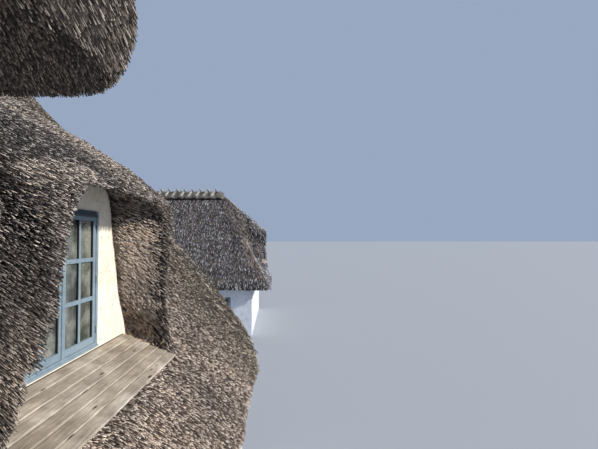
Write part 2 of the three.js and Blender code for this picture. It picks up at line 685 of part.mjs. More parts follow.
function addMainRoof(outer) {
  const hood = loft(HOOD.map((level) => hoodRing(level, MAIN_RIDGE.y - 40)));
  const bayCut = block(-BAY.half - GAP, BAY.half + GAP, -1000, HOOD_FOOTING, 2000, BAY.top);
  const inner = prismAlongX(innerProfile(MAIN.y0, MAIN.y1), MAIN.x0 - 1000, MAIN.x1 + 1000);
  let shell = outer.subtract(inner).subtract(bayCut).subtract(bayRoom(0));
  for (const dormer of [DORMERS.main_west, DORMERS.main_east]) {
    shell = shell.subtract(dormerReveal(dormer)).subtract(dormerRoom(dormer));
  }
  const north = beyond([0, MAIN_RIDGE.y - GAP / 2, 0], Y);
  const south = beyond([0, MAIN_RIDGE.y + GAP / 2, 0], Y.clone().negate());
  addMesh('main_thatch_front', shell.subtract(north), COLOURS.thatch);
  addMesh('main_thatch_back', shell.subtract(south), COLOURS.thatch);
  const hoodBody = hood.subtract(outer.translate([0, 0, LIFT])).subtract(bayRoom(0));
  addMesh('front_bay_thatch', hoodBody, COLOURS.thatch);

  const start = MAIN.x0 - VERGE_OUT;
  const length = MAIN.x1 - MAIN.x0 + 2 * VERGE_OUT;
  const cap = ridgeCap(length).translate([start, MAIN_RIDGE.y, MAIN_RIDGE.z]);
  const bare = cap.subtract(outer.translate([0, 0, LIFT])).subtract(hood.translate([0, 0, LIFT]));
  addMesh('main_ridge_cap', bare, COLOURS.straw);
}

function addWingRoof() {
  // The bell of the hip dormer stands a little proud of the long slopes where it meets them
  const slopesAround = prismAlongY(outerProfile(WING.x0, WING.x1, WING_BELL_PROUD), 0, WING.y1);
  const bell = dormerBell(DORMERS.wing).intersect(slopesAround);
  const outer = wingOuter().add(bell);
  // The room behind the dormer stays under the long slopes
  const underSlopes = prismAlongY(innerProfile(WING.x0, WING.x1), 0, WING.y1);
  const shell = outer.subtract(wingInner(0))
    .subtract(dormerReveal(DORMERS.wing)).subtract(dormerRoom(DORMERS.wing).intersect(underSlopes));
  // The hips are parted from the long slopes where their under-surfaces meet
  let slopes = shell;
  for (const end of ['garden', 'back']) {
    addMesh(`wing_thatch_${end}_hip`, shell.intersect(aboveHip(end, 0)), COLOURS.thatch);
    slopes = slopes.subtract(aboveHip(end, GAP));
  }
  const eastward = beyond([WING_RIDGE.x - GAP / 2, 0, 0], X);
  const westward = beyond([WING_RIDGE.x + GAP / 2, 0, 0], X.clone().negate());
  addMesh('wing_thatch_west', slopes.subtract(eastward), COLOURS.thatch);
  addMesh('wing_thatch_east', slopes.subtract(westward), COLOURS.thatch);

  const start = GARDEN_RIDGE_END - 200;
  const length = WING.y1 + HIP_OUT - HIP_RUN + 200 - start;
  const cap = ridgeCap(length).rotate([0, 0, 90]).translate([WING_RIDGE.x, start, WING_RIDGE.z]);
  addMesh('wing_ridge_cap', cap.subtract(outer.translate([0, 0, LIFT])), COLOURS.straw);
}

// The link roof ends against the main verge and dies into the wing's slope
function addLinkRoof() {
  const reach = WING.x0 + 2600;
  const edge = MAIN.x1 + VERGE_OUT;
  const verge = prismAlongX(outerProfile(MAIN.y0, MAIN.y1, LIFT), MAIN.x1 - 500, edge + GAP)
    .subtract(prismAlongX(innerProfile(MAIN.y0, MAIN.y1, -LIFT), MAIN.x1 - 600, edge + 100));
  const thatch = prismAlongX(outerProfile(LINK.y0, LINK.y1), LINK.x0 + GAP, reach)
    .subtract(prismAlongX(innerProfile(LINK.y0, LINK.y1), LINK.x0 - 100, reach + 100))
    .subtract(verge)
    .subtract(wingOuter(LIFT));
  addMesh('link_thatch', thatch, COLOURS.thatch);
  const start = LINK.x0 + VERGE_OUT + 1;
  const cap = ridgeCap(WING.x0 + 1700 - start).translate([start, LINK_RIDGE.y, LINK_RIDGE.z]);
  const bed = prismAlongX(outerProfile(LINK.y0, LINK.y1, LIFT), LINK.x0, reach);
  addMesh('link_ridge_cap', cap.subtract(bed).subtract(wingOuter(LIFT)), COLOURS.straw);
}

addFloors();
addWalls();
addBay();
addDormers();
addDormerJoinery('front_bay', 0, 40 + FRAME.proud);
addMainRoof(mainOuter());
addWingRoof();
addLinkRoof();

// The origin is at ground level under the middle of the whole plan
const plan = new THREE.Box3().setFromObject(house);
const middle = plan.getCenter(new THREE.Vector3());
house.position.set(-middle.x, -middle.y, 0);

export default house;
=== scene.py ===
# %% [markdown]
# # A thatched cottage, dressed in Blender
# The house is a long farmhouse under reed. Its walls, floors and the broad shape of its roofs come
# from the CAD model, which is loaded here as a fixed frame. This lesson gives each surface the
# finish of the real thing: cut reed ends, straw on the ridge, limewash, paint and weathered wood.

# %% Load the frame and keep its size
import json
import math

import bmesh
import bpy
import numpy as np
from mathutils import Matrix, Vector


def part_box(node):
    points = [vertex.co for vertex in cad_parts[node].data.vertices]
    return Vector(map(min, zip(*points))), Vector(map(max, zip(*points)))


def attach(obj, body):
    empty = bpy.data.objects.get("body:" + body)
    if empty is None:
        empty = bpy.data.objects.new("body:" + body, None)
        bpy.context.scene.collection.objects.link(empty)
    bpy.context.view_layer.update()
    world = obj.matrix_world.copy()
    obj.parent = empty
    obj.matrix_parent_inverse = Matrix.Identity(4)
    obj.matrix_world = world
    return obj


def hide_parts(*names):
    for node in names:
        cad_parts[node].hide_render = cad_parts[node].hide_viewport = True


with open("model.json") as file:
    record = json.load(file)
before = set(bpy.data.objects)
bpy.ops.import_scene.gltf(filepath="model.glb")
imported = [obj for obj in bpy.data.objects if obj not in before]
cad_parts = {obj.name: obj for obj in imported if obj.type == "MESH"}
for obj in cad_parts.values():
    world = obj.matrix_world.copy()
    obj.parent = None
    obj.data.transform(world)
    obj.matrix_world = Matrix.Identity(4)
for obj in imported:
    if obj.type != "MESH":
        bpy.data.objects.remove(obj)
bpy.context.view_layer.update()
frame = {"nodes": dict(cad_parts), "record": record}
cad_nodes = frame["nodes"]

# %% [markdown]
# The builder's drawing measures everything from the front door: X along the front, Y into the
# house, Z up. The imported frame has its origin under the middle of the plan, so one shift joins the
# two. It is read from the front wall, whose west end is at X -7 in the drawing.

# %% From the drawing to the frame
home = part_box("main_front_wall")[0] - Vector((-7.0, 0.0, 0.0))
shift = np.array(home)


def at(x, y, z):
    return home + Vector((x, y, z))


print("the front door is at", [round(v, 3) for v in at(0, 0, 0)])

# %% [markdown]
# ## The viewpoint and the light
# The photograph is taken from just in front of the bay, at the height of the dormers, looking along
# the house. The lens is a wide one, with a focal length of 440 pixels of the photograph. All lines
# along the house meet in one point, 3 pixels left of the picture's middle and 12.5 below it, which
# gives the camera's turn. The sun stands in front of the house, a third of the way up the sky, and
# the rest of the light is that of a large pale studio.

# %% Camera
WIDTH, HEIGHT, FOCAL = 598, 449, 440.0
VANISHING = (296.0, 237.0)
EYE = (0.0, -1.1, 4.75)
camera = bpy.data.objects.new("camera", bpy.data.cameras.new("camera"))
bpy.context.scene.collection.objects.link(camera)
camera.data.sensor_width = 36.0
camera.data.lens = FOCAL / WIDTH * 36.0
yaw, pitch = math.atan((WIDTH / 2 - VANISHING[0]) / FOCAL), math.atan((VANISHING[1] - HEIGHT / 2) / FOCAL)
looking = Vector((math.cos(yaw) * math.cos(pitch), -math.sin(yaw) * math.cos(pitch), math.sin(pitch)))
camera.location = at(*EYE)
camera.rotation_mode = "QUATERNION"
camera.rotation_quaternion = looking.to_track_quat("-Z", "Y")
camera.data.clip_start, camera.data.clip_end = 0.05, 600.0
bpy.context.scene.camera = camera
print("lens", round(camera.data.lens, 2), "mm")

# %% Sun, sky and view
sun = bpy.data.objects.new("sun", bpy.data.lights.new("sun", "SUN"))
bpy.context.scene.collection.objects.link(sun)
sun.data.energy = 4.9
sun.data.angle = math.radians(1.6)
sun.data.color = (1.0, 0.95, 0.88)
sun_height = math.radians(30.0)
to_sun = Vector((-0.20 * math.cos(sun_height), -math.cos(sun_height), math.sin(sun_height)))
sun.rotation_mode = "QUATERNION"
sun.rotation_quaternion = to_sun.to_track_quat("Z", "Y")
world = bpy.data.worlds.new("studio")
bpy.context.scene.world = world
world.use_nodes = True
background = world.node_tree.nodes["Background"]
background.inputs["Color"].default_value = (0.56, 0.70, 0.95, 1.0)
background.inputs["Strength"].default_value = 0.56
bpy.context.scene.view_settings.view_transform = "Standard"
print("sun from", [round(v, 2) for v in to_sun])

# %% [markdown]
# ## Tools for finishes
# Colours are picked as sRGB hex values, as on a paint card, and one function turns them to the
# linear light that the shader works in. A second small function adds any node to a material, with
# its settings, its input values and its links. The short ones after it name what is used most: a
# noise, a colour ramp, a bump, a stretched place, a value of the mesh, and layers that darken.

# %% Colour and node helpers
def linear(hex_colour, alpha=1.0):
    parts = [int(hex_colour[i:i + 2], 16) / 255 for i in (1, 3, 5)]
    return (*(c / 12.92 if c <= 0.04045 else ((c + 0.055) / 1.055) ** 2.4 for c in parts), alpha)


def add_node(tree, kind, inputs=None, stops=None, **settings):
    node = tree.nodes.new(kind)
    for key, value in settings.items():
        setattr(node, key, value)
    for socket, value in (inputs or {}).items():
        if isinstance(value, bpy.types.NodeSocket):
            tree.links.new(value, node.inputs[socket])
        else:
            node.inputs[socket].default_value = value
    if stops:
        bar = node.color_ramp
        while len(bar.elements) < len(stops):
            bar.elements.new(0.5)
        for element, (place, hex_colour) in zip(bar.elements, stops):
            element.position = place
            element.color = linear(hex_colour)
    return node


def new_material(name):
    material = bpy.data.materials.new(name)
    material.use_nodes = True
    material.node_tree.nodes.clear()
    return material, material.node_tree


def textured(name):
    material, tree = new_material(name)
    return material, tree, add_node(tree, "ShaderNodeTexCoord").outputs["Object"]


def noise(tree, place, scale, **values):
    inputs = {"Vector": place, "Scale": scale, **{key.capitalize(): value for key, value in values.items()}}
    return add_node(tree, "ShaderNodeTexNoise", inputs).outputs["Fac"]


def stretched(tree, place, scale):
    return add_node(tree, "ShaderNodeMapping", {"Vector": place, "Scale": scale}).outputs["Vector"]


def attribute(tree, name):
    return add_node(tree, "ShaderNodeAttribute", attribute_name=name).outputs["Fac"]


def mix_values(tree, share, a, b):
    inputs = {"Factor": share, "A": a, "B": b}
    return add_node(tree, "ShaderNodeMix", inputs, data_type="FLOAT").outputs["Result"]


def colours_of(tree, factor, *stops):
    return add_node(tree, "ShaderNodeValToRGB", {"Fac": factor}, stops=stops).outputs["Color"]


def multiply(tree, colour, *layers):
    for layer in layers:
        inputs = {6: colour, 7: layer, "Factor": 1.0}
        colour = add_node(tree, "ShaderNodeMix", inputs, data_type="RGBA", blend_type="MULTIPLY").outputs[2]
    return colour


def bump(tree, height, strength, distance):
    inputs = {"Height": height, "Strength": strength, "Distance": distance}
    return add_node(tree, "ShaderNodeBump", inputs).outputs["Normal"]


def finish_material(tree, **inputs):
    shader = add_node(tree, "ShaderNodeBsdfPrincipled", {k.replace("_", " "): v for k, v in inputs.items()})
    add_node(tree, "ShaderNodeOutputMaterial", {"Surface": shader.outputs["BSDF"]})


print("#808080 is", round(linear("#808080")[0], 4), "in linear light")

# %% [markdown]
# ## The floor
# The house stands on a plain pale floor, which isn't part of it.

# %% Floor
bpy.ops.object.select_all(action="DESELECT")
bpy.ops.mesh.primitive_plane_add(size=900.0, location=(0, 0, 0))
floor = bpy.context.object
floor.name = "studio_floor"
floor_paint, tree = new_material("matt_floor_paint")
finish_material(tree, Base_Color=linear("#a2a6ac"), Roughness=0.9)
floor.data.materials.append(floor_paint)
print("floor", floor.name)

# %% [markdown]
# ## Reed
# Water reed is laid in bundles whose cut ends form the surface. Each stem is 4 to 8 mm thick. New
# reed is straw yellow, and after some years the ends turn grey brown; the gaps between them are
# painted almost black, as painted shade. Inside the coat all stems lie parallel. So the finish is a
# solid pattern of long thin threads that lie in the stems' direction: cut along them it shows
# streaks, and cut across them it shows dots, as the real coat does. A Mapping node turns the pattern's long
# axis.

# %% Reed coat
# The darkest stop of each palette, the gap between stems, is painted shade.
REED = {"gap_shade": "#191615", "deep": "#3b3532", "grey": "#7b716a", "tan": "#a0958a", "pale": "#d0c8bc"}
# A pale palette for the sheltered reveal, painted pale and pink as the sunlight on it.
SHELTERED_AND_SUNLIT = {"gap_shade": "#6a5a51", "deep": "#9b897c", "grey": "#c6b5a8", "tan": "#e4d6ca", "pale": "#fbf2e9"}


def reed_coat(name, turn, tone="#ffffff", thread=0.012, run=0.16, colours=REED):
    material, tree, place = textured(name)
    along = add_node(
        tree, "ShaderNodeMapping", {"Vector": place, "Rotation": turn, "Scale": (1.0, 1.0, run / thread)},
        vector_type="TEXTURE",
    ).outputs["Vector"]
    stems = noise(tree, along, 1 / (2 * thread), detail=3.0, roughness=0.7)
    bundles = noise(tree, along, 1 / (9 * thread), detail=3.0, roughness=0.6)
    patches = noise(tree, place, 0.9, detail=5.0, roughness=0.65)
    mixed = mix_values(tree, 0.45, stems, bundles)
    colour = colours_of(tree, mixed, *zip((0.34, 0.44, 0.52, 0.62, 0.74), colours.values()))
    weather = colours_of(tree, patches, (0.32, "#8f8b86"), (0.5, "#d2cabf"), (0.7, "#fff3df"))
    toned = multiply(tree, colour, weather, linear(tone))
    finish_material(tree, Base_Color=toned, Roughness=0.92, Normal=bump(tree, mixed, 0.9, 0.03))
    return material


PITCH, HIP_PITCH = 47.0, 57.0
SLOPE = math.radians(PITCH)
lean = math.pi / 2 - SLOPE
front_reed = reed_coat("weathered_reed_front", (-lean, 0.0, 0.0), tone="#b4b7bb")
back_reed = reed_coat("weathered_reed_back", (lean, 0.0, 0.0))
west_reed = reed_coat("weathered_reed_west", (0.0, -lean, 0.0), tone="#dde4f0", thread=0.022, run=0.34)
east_reed = reed_coat("weathered_reed_east", (0.0, lean, 0.0), thread=0.022, run=0.34)
reed_bed = reed_coat("shaded_reed_bed", (-lean, 0.0, 0.0), tone="#979190")
sunlit_reveal_bed = reed_coat("sheltered_reed_bed_painted_sunlit", (-lean, 0.0, 0.0), colours=SHELTERED_AND_SUNLIT)
print("reed coats:", [m.name for m in bpy.data.materials if "reed" in m.name])

# %% [markdown]
# Single reed ends need a finish of their own. Each one carries two numbers: a tone, which is the
# same all over one reed, and how far a point is from its root. So every reed differs from the next,
# as weathered ends do, and it is painted dark towards its root: painted shade where it enters the coat.

# %% Cut reed ends
def reed_ends(name, *ends, bright=0.85, tone="#ffffff"):
    material, tree, place = textured(name)
    stops = zip((0.0, bright - 0.55, bright - 0.25, bright, 1.0), ends)
    colour = colours_of(tree, attribute(tree, "reed_tone"), *stops)
    reach = attribute(tree, "reed_reach")
    # Each reed is darker towards its root: painted shade where it goes into the coat.
    root_shade = colours_of(tree, reach, (0.0, "#3c3430"), (0.45, "#a8a29c"), (1.0, "#ffffff"))
    patches = noise(tree, place, 1.3, detail=4.0, roughness=0.6)
    weather = colours_of(tree, patches, (0.35, "#bcb8b4"), (0.5, "#e6e1da"), (0.68, "#fff8ec"))
    finish_material(tree, Base_Color=multiply(tree, colour, root_shade, weather, linear(tone)), Roughness=0.85)
    return material


# Dark ends: on the crown they are painted shade under the crown's overhang.
ends_crown = reed_ends(
    "dark_reed_ends_and_crown_shade", "#0c0b0c", "#2a282a", "#625e62", "#aaa6a8", "#f5f2f1", bright=0.88)
ends_cheek = reed_ends("cut_reed_ends", "#0f0d0d", "#423c3c", "#908887", "#d8d1cc", "#fffaf5", bright=0.84)
ends_near = reed_ends("sunlit_reed_ends", "#1d1918", "#615956", "#a89e98", "#ddd4cc", "#fffaf3")
ends_slope = reed_ends("bleached_reed_ends", "#3a312e", "#9b8d85", "#dccfc6", "#f8efe7", "#ffffff", bright=0.9)
ends_verge = reed_ends("weathered_reed_ends", "#080706", "#3f3a33", "#8a8276", "#d2cabd", "#fff9ee")
sunlit_reveal_ends = reed_ends(
    "sheltered_pink_reed_ends", "#b5a499", "#dccbbe", "#f4e6dc", "#fdf5ee", "#ffffff", bright=0.8)
ends_hip = reed_ends("hip_reed_ends", "#5a514e", "#968a85", "#bbafa9", "#d6cbc4", "#eee6df")
ends_hood = reed_ends(
    "sheltered_reed_ends", "#1b1818", "#4e4846", "#8d8480", "#c4bab1", "#f7f0e6", tone="#d8cfca")
ends_wing = reed_ends(
    "north_west_reed_ends", "#202023", "#6a6a72", "#a8aab4", "#d5d8e1", "#f4f7fd", tone="#f4f7ff")
print("reed ends:", [m.name for m in bpy.data.materials if "ends" in m.name])

# %% [markdown]
# ## The thatch coats
# The CAD roofs are crisp solids with flat faces. A thatcher's coat has no sharp edge: it is dressed
# with a bat until it rolls over the verges and swells softly between the fixings. So each roof node
# is copied, its loose triangles are merged, and a Remesh modifier rebuilds it as an even skin of
# small quads. Two Displace modifiers then raise the slow swells and the small tufts. Nobody sees the
# faces that look into the loft, so a Decimate modifier thins them out again, held to a vertex group.

# %% Swells and tufts
swell = bpy.data.textures.new("swell", "CLOUDS")
swell.noise_scale, swell.noise_depth = 0.55, 2
tuft = bpy.data.textures.new("tuft", "CLOUDS")
tuft.noise_scale, tuft.noise_depth = 0.11, 1


def only(thing):
    bpy.ops.object.select_all(action="DESELECT")
    thing.select_set(True)
    bpy.context.view_layer.objects.active = thing


def apply(thing, kind, **settings):
    only(thing)
    modifier = thing.modifiers.new(kind.lower(), kind)
    for key, value in settings.items():
        setattr(modifier, key, value)
    bpy.ops.object.modifier_apply(modifier=modifier.name)


def join(things):
    bpy.ops.object.select_all(action="DESELECT")
    for thing in things:
        thing.select_set(True)
    bpy.context.view_layer.objects.active = things[0]
    if len(things) > 1:
        bpy.ops.object.join()
    return things[0]


def copy_of(name, *nodes, padding=()):
    copies = []
    for node in nodes:
        thing = cad_nodes[node].copy()
        thing.data = cad_nodes[node].data.copy()
        thing.data.materials.clear()
        thing.parent = None
        for key in list(thing.keys()):
            del thing[key]
        bpy.context.scene.collection.objects.link(thing)
        copies.append(thing)
    for middle, radii in padding:
        bpy.ops.mesh.primitive_ico_sphere_add(subdivisions=3, radius=1.0, location=at(*middle), scale=radii)
        copies.append(bpy.context.object)
    thing = join(copies)
    thing.name = thing.data.name = name
    bpy.ops.object.mode_set(mode="EDIT")
    bpy.ops.mesh.select_all(action="SELECT")
    bpy.ops.mesh.remove_doubles(threshold=0.0002)
    bpy.ops.object.mode_set(mode="OBJECT")
    return thing


def points_of(thing):
    points = np.empty(len(thing.data.vertices) * 3)
    thing.data.vertices.foreach_get("co", points)
    return points.reshape(-1, 3)


def faces_of(thing):
    found = []
    for key in ("center", "normal"):
        values = np.empty(len(thing.data.polygons) * 3)
        thing.data.polygons.foreach_get(key, values)
        found.append(values.reshape(-1, 3))
    return found[0] - shift, found[1]


def thatch_coat(
    name, nodes, material, voxel, loft, swells=0.035, tufts=0.02, soften=0, shrink=0.0, padding=(),
):
    coat = copy_of(name, *nodes, padding=padding)
    apply(coat, "REMESH", mode="VOXEL", voxel_size=voxel, use_smooth_shade=True)
    if soften:
        apply(coat, "SMOOTH", factor=0.5, iterations=soften)
    hidden = loft(*faces_of(coat))
    apply(coat, "DISPLACE", texture=swell, strength=swells, mid_level=0.5, texture_coords="LOCAL")
    apply(coat, "DISPLACE", texture=tuft, strength=tufts, mid_level=0.5, texture_coords="LOCAL")
    if shrink:
        apply(coat, "DISPLACE", strength=-shrink, mid_level=0.0)
    if hidden.any():
        corners = np.empty(len(coat.data.loops), np.int32)
        coat.data.loops.foreach_get("vertex_index", corners)
        inside = np.unique(corners.reshape(-1, 4)[hidden])
        group = coat.vertex_groups.new(name="loft")
        group.add(inside.tolist(), 1.0, "REPLACE")
        keep = 1 - 0.93 * hidden.mean()
        apply(coat, "DECIMATE", ratio=keep, vertex_group="loft", vertex_group_factor=1000.0)
        coat.vertex_groups.clear()
    coat.data.materials.append(material)
    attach(coat, "root")
    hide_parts(*nodes)
    triangles = sum(len(p.vertices) - 2 for p in coat.data.polygons)
    print(name, len(hidden), "quads made, now", triangles, "triangles")
    return coat


# %% [markdown]
# What looks into the loft is found by where a face is and how it is turned. On the main range it
# lies between the walls and looks down, apart from the dormers' own ceilings. The wing's coat also
# gets two soft skirts beside its dormer, where the photograph shows the reed swept out wide.

# %% Faces that nobody sees
MAIN_DORMERS, WING_X = (-4.0, 4.0), 25.28
LOOKS_DOWN = -0.15


def within(values, low, high):
    return (values > low) & (values < high)


def main_loft(centres, normals):
    x, y, _ = centres.T
    dormer = (np.minimum(abs(x - MAIN_DORMERS[1]), abs(x - MAIN_DORMERS[0])) < 1.8) & (y < 1.16)
    return within(x, -6.9, 9.0) & within(y, 0.15, 9.65) & ~dormer & (normals[:, 2] < LOOKS_DOWN)


def wing_loft(centres, normals):
    x, y, z = centres.T
    return within(x, 21.4, 29.1) & within(y, 1.45, 12.1) & (normals[:, 2] < LOOKS_DOWN) & (z < 6.6)


def link_loft(centres, normals):
    x, y, _ = centres.T
    return within(x, 9.6, 21.2) & within(y, 6.3, 9.7) & (normals[:, 2] < LOOKS_DOWN)


def no_loft(centres, normals):
    return np.zeros(len(centres), bool)


main_front = thatch_coat(
    "main_roof_front_coat", ["main_thatch_front"], front_reed, 0.07, main_loft, shrink=0.015)
main_back = thatch_coat("main_roof_back_coat", ["main_thatch_back"], back_reed, 0.13, main_loft)
hood = thatch_coat(
    "bay_hood_coat", ["front_bay_thatch"], front_reed, 0.055, no_loft, swells=0.015, tufts=0.010, shrink=0.006)
wing_parts = ["wing_thatch_west", "wing_thatch_east", "wing_thatch_garden_hip", "wing_thatch_back_hip"]
skirts = [((x, 1.04, 3.60), (0.32, 0.30, 0.90)) for x in (23.70, 26.86)]
wing = thatch_coat("wing_roof_coat", wing_parts, west_reed, 0.09, wing_loft, soften=6, padding=skirts)
link_roof = thatch_coat("link_roof_coat", ["link_thatch"], front_reed, 0.13, link_loft)

# %% [markdown]
# The wing's four slopes are one soft coat, so its creases roll over as the real ones do. Each slope
# is still laid in its own direction, so its faces are given their finish by the way they look.

# %% Finish each slope of the wing
for material in (east_reed, front_reed, back_reed):
    wing.data.materials.append(material)
sideways, inward, _ = faces_of(wing)[1].T
slot_of = np.where(abs(sideways) > abs(inward), np.where(sideways > 0, 1, 0), np.where(inward < 0, 2, 3))
wing.data.polygons.foreach_set("material_index", slot_of.astype(np.int32))
wing.data.update()
print("faces of the wing by slope:", np.bincount(slot_of).tolist())

# %% [markdown]
# The dormers' reveals open a little wider towards the front, where the thatcher has pulled the reed
# outwards: all of the east lip, and the foot of the west one. One function moves a coat's points by
# a weight that depends on where they are. It also opens the foot of the east reveal, and gives the
# slope beside the far verge a soft belly of 12 cm. It sets back the low corner of verge and eave and
# the wing's far corner, and moves the hood's corner by up to 35 mm.

# %% Push parts of the coats
EAVE_TIP, EAVE_OUT = 2.409, 0.45
EAST_LIP, WEST_LIP, LIP_EDGE, REVEAL_FOOT = 0.18, 0.13, 0.14, 0.12
BELLY, WING_CORNER = 0.12, 0.26


def ramp(values, start, end):
    return np.clip((values - start) / (end - start), 0, 1)


def push(coat, direction, weight):
    points = points_of(coat)
    points += np.array(direction) * weight(*(points - shift).T)[:, None]
    coat.data.vertices.foreach_set("co", points.ravel())
    coat.data.update()


def roof_height(y):
    return EAVE_TIP + math.tan(SLOPE) * (y + EAVE_OUT)


def belly(x, y, z):
    under = ramp(roof_height(y) - z, 0.5, 0.1)
    return under * ramp(x, 6.5, 8.3) * ramp(z, 2.8, 4.0) * ramp(z, 6.6, 5.0) * (y < 4.5)


def far_corner(x, y, z):
    return ramp(x, 27.2, 29.6) * ramp(y, 2.0, 0.8) * ramp(z, 4.0, 3.0)


def near_eave(x, y, z):
    return (0.05 * ramp(x, 5.5, 6.8) + 0.09 * ramp(x, 8.0, 9.4)) * ramp(z, 2.85, 2.4) * (y < 4.5)


def hood_corner(x, y, z):
    return ramp(abs(x), 1.05, 1.4) * ramp(y, -0.1, -0.4) * np.clip(5.4 - z, -0.175, 0.13)


def lip(centre, side, heights):
    def weight(x, y, z):
        out = side * (x - centre)
        across = ramp(out, 0.55, 0.95) * ramp(out, 2.4, 1.5)
        return across * ramp(z, *heights[:2]) * ramp(z, *heights[2:]) * ramp(y, 1.03, 0.5)
    return weight


def lip_edge(centre):
    def weight(x, y, z):
        out = x - centre
        inner = ramp(out, 0.7, 0.95) * ramp(out, 1.5, 1.2) * ramp(y, 0.85, 0.6)
        return inner * ramp(z, 4.2, 4.6) * ramp(z, 5.5, 5.2)
    return weight


def reveal_foot(centre):
    def weight(x, y, z):
        out = x - centre
        inside = ramp(out, 0.6, 0.82) * ramp(out, 2.0, 1.4) * ramp(y, 1.4, 1.1) * ramp(y, 0.5, 0.85)
        return inside * (0.55 * ramp(z, 5.2, 4.6) + 0.45 * ramp(z, 4.2, 3.6)) * ramp(z, 2.9, 3.3)
    return weight


for centre in MAIN_DORMERS:
    for distance, weight in (
        (REVEAL_FOOT, reveal_foot(centre)), (LIP_EDGE, lip_edge(centre)),
        (EAST_LIP, lip(centre, 1, (3.45, 4.0, 5.6, 5.2))), (-WEST_LIP, lip(centre, -1, (3.1, 3.3, 4.3, 3.75))),
    ):
        push(main_front, (distance, 0.0, 0.0), weight)
push(main_front, (0.0, -BELLY * math.sin(SLOPE), BELLY * math.cos(SLOPE)), belly)
push(wing, (0.0, WING_CORNER, 0.0), far_corner)
push(main_front, (0.0, 1.0, 0.2), near_eave)
push(hood, (0.0, 0.2, 0.0), hood_corner)
print("lips pulled out by", round(EAST_LIP * 1000), "and", round(WEST_LIP * 1000), "mm")

# %% [markdown]
# Between single reeds one looks down into the coat, so the faces under them get a darker finish, the
# bed, which is painted shade. In the reveal beside the window, where the reed is combed and sheltered,
# the bed is paler and pinker below the lip's shadow, as painted sunlight.

# %% The bed on which single reeds will lie
for material in (reed_bed, sunlit_reveal_bed):
    main_front.data.materials.append(material)
centres, normals = faces_of(main_front)
x, y, z = centres.T
# The darker bed under the single reeds is painted shade.
dark = within(x, 1.5, 9.6) & (y < 4.2)
# The pale bed stops at z 4.85, where the lip's shadow begins: painted sunlight below it.
reveal = dark & within(x, 4.7, 6.5) & within(y, 0.7, 1.05) & within(z, 3.3, 4.85) & (normals[:, 0] < -0.5)
main_front.data.polygons.foreach_set("material_index", np.where(reveal, 2, dark).astype(np.int32))
main_front.data.update()
print("faces in the bed:", int(dark.sum()), "of them in the reveal:", int(reveal.sum()))

# %% [markdown]
# ## Single reeds
# Near the camera each stem shows: a thin tube whose cut end stands a little proud of the coat and
# catches the sun, with a dark gap under it. One such reed is modelled as a cone of three sides that
# stands on its point, because the root is hidden in the coat. It is then copied thousands of times.
# Doing that with objects would be slow, so the copies are laid out in arrays and become one mesh:
# each is turned so that it lies along the thatcher's laying direction.

# %% Model one reed
bpy.ops.object.select_all(action="DESELECT")
bpy.ops.mesh.primitive_cone_add(vertices=3, radius1=0.0, radius2=1.0, depth=1.0, location=(0, 0, 0.5))
reed = bpy.context.object
bpy.ops.object.transform_apply(location=True)
REED_POINTS = np.array([v.co[:] for v in reed.data.vertices])
REED_FACES = np.array([p.vertices[:] for p in reed.data.polygons])
bpy.data.objects.remove(reed)
print("a reed has", len(REED_POINTS), "points and", len(REED_FACES), "faces")

# %% [markdown]
# Where reeds go is chosen by area: every triangle of a coat gets as many as its size and the wanted
# number a square metre ask for. The choice comes from a seeded generator, so each run gives the same
# reeds. Only the ridge caps come out a little differently each time, and with them their straws and
# the tones of the deck boards, which are drawn last.

# %% Lay reeds on a coat
chance = np.random.default_rng(20)


def unit(vectors):
    return vectors / np.maximum(np.linalg.norm(vectors, axis=1, keepdims=True), 1e-9)


def spots(coat, density):
    mesh = coat.data
    mesh.calc_loop_triangles()
    corners = np.empty(len(mesh.loop_triangles) * 3, np.int32)
    mesh.loop_triangles.foreach_get("vertices", corners)
    triangles = (points_of(coat) - shift)[corners.reshape(-1, 3)]
    cross = np.cross(triangles[:, 1] - triangles[:, 0], triangles[:, 2] - triangles[:, 0])
    area = np.linalg.norm(cross, axis=1) / 2
    normals = unit(cross)
    wanted = area * density(triangles.mean(axis=1), normals)
    picked = np.repeat(np.arange(len(area)), chance.poisson(wanted))
    a, b = chance.random((2, len(picked), 1))
    a, b = np.where(a + b > 1, 1 - a, a), np.where(a + b > 1, 1 - b, b)
    first, second, third = triangles[picked, 0], triangles[picked, 1], triangles[picked, 2]
    return first + a * (second - first) + b * (third - first), normals[picked]


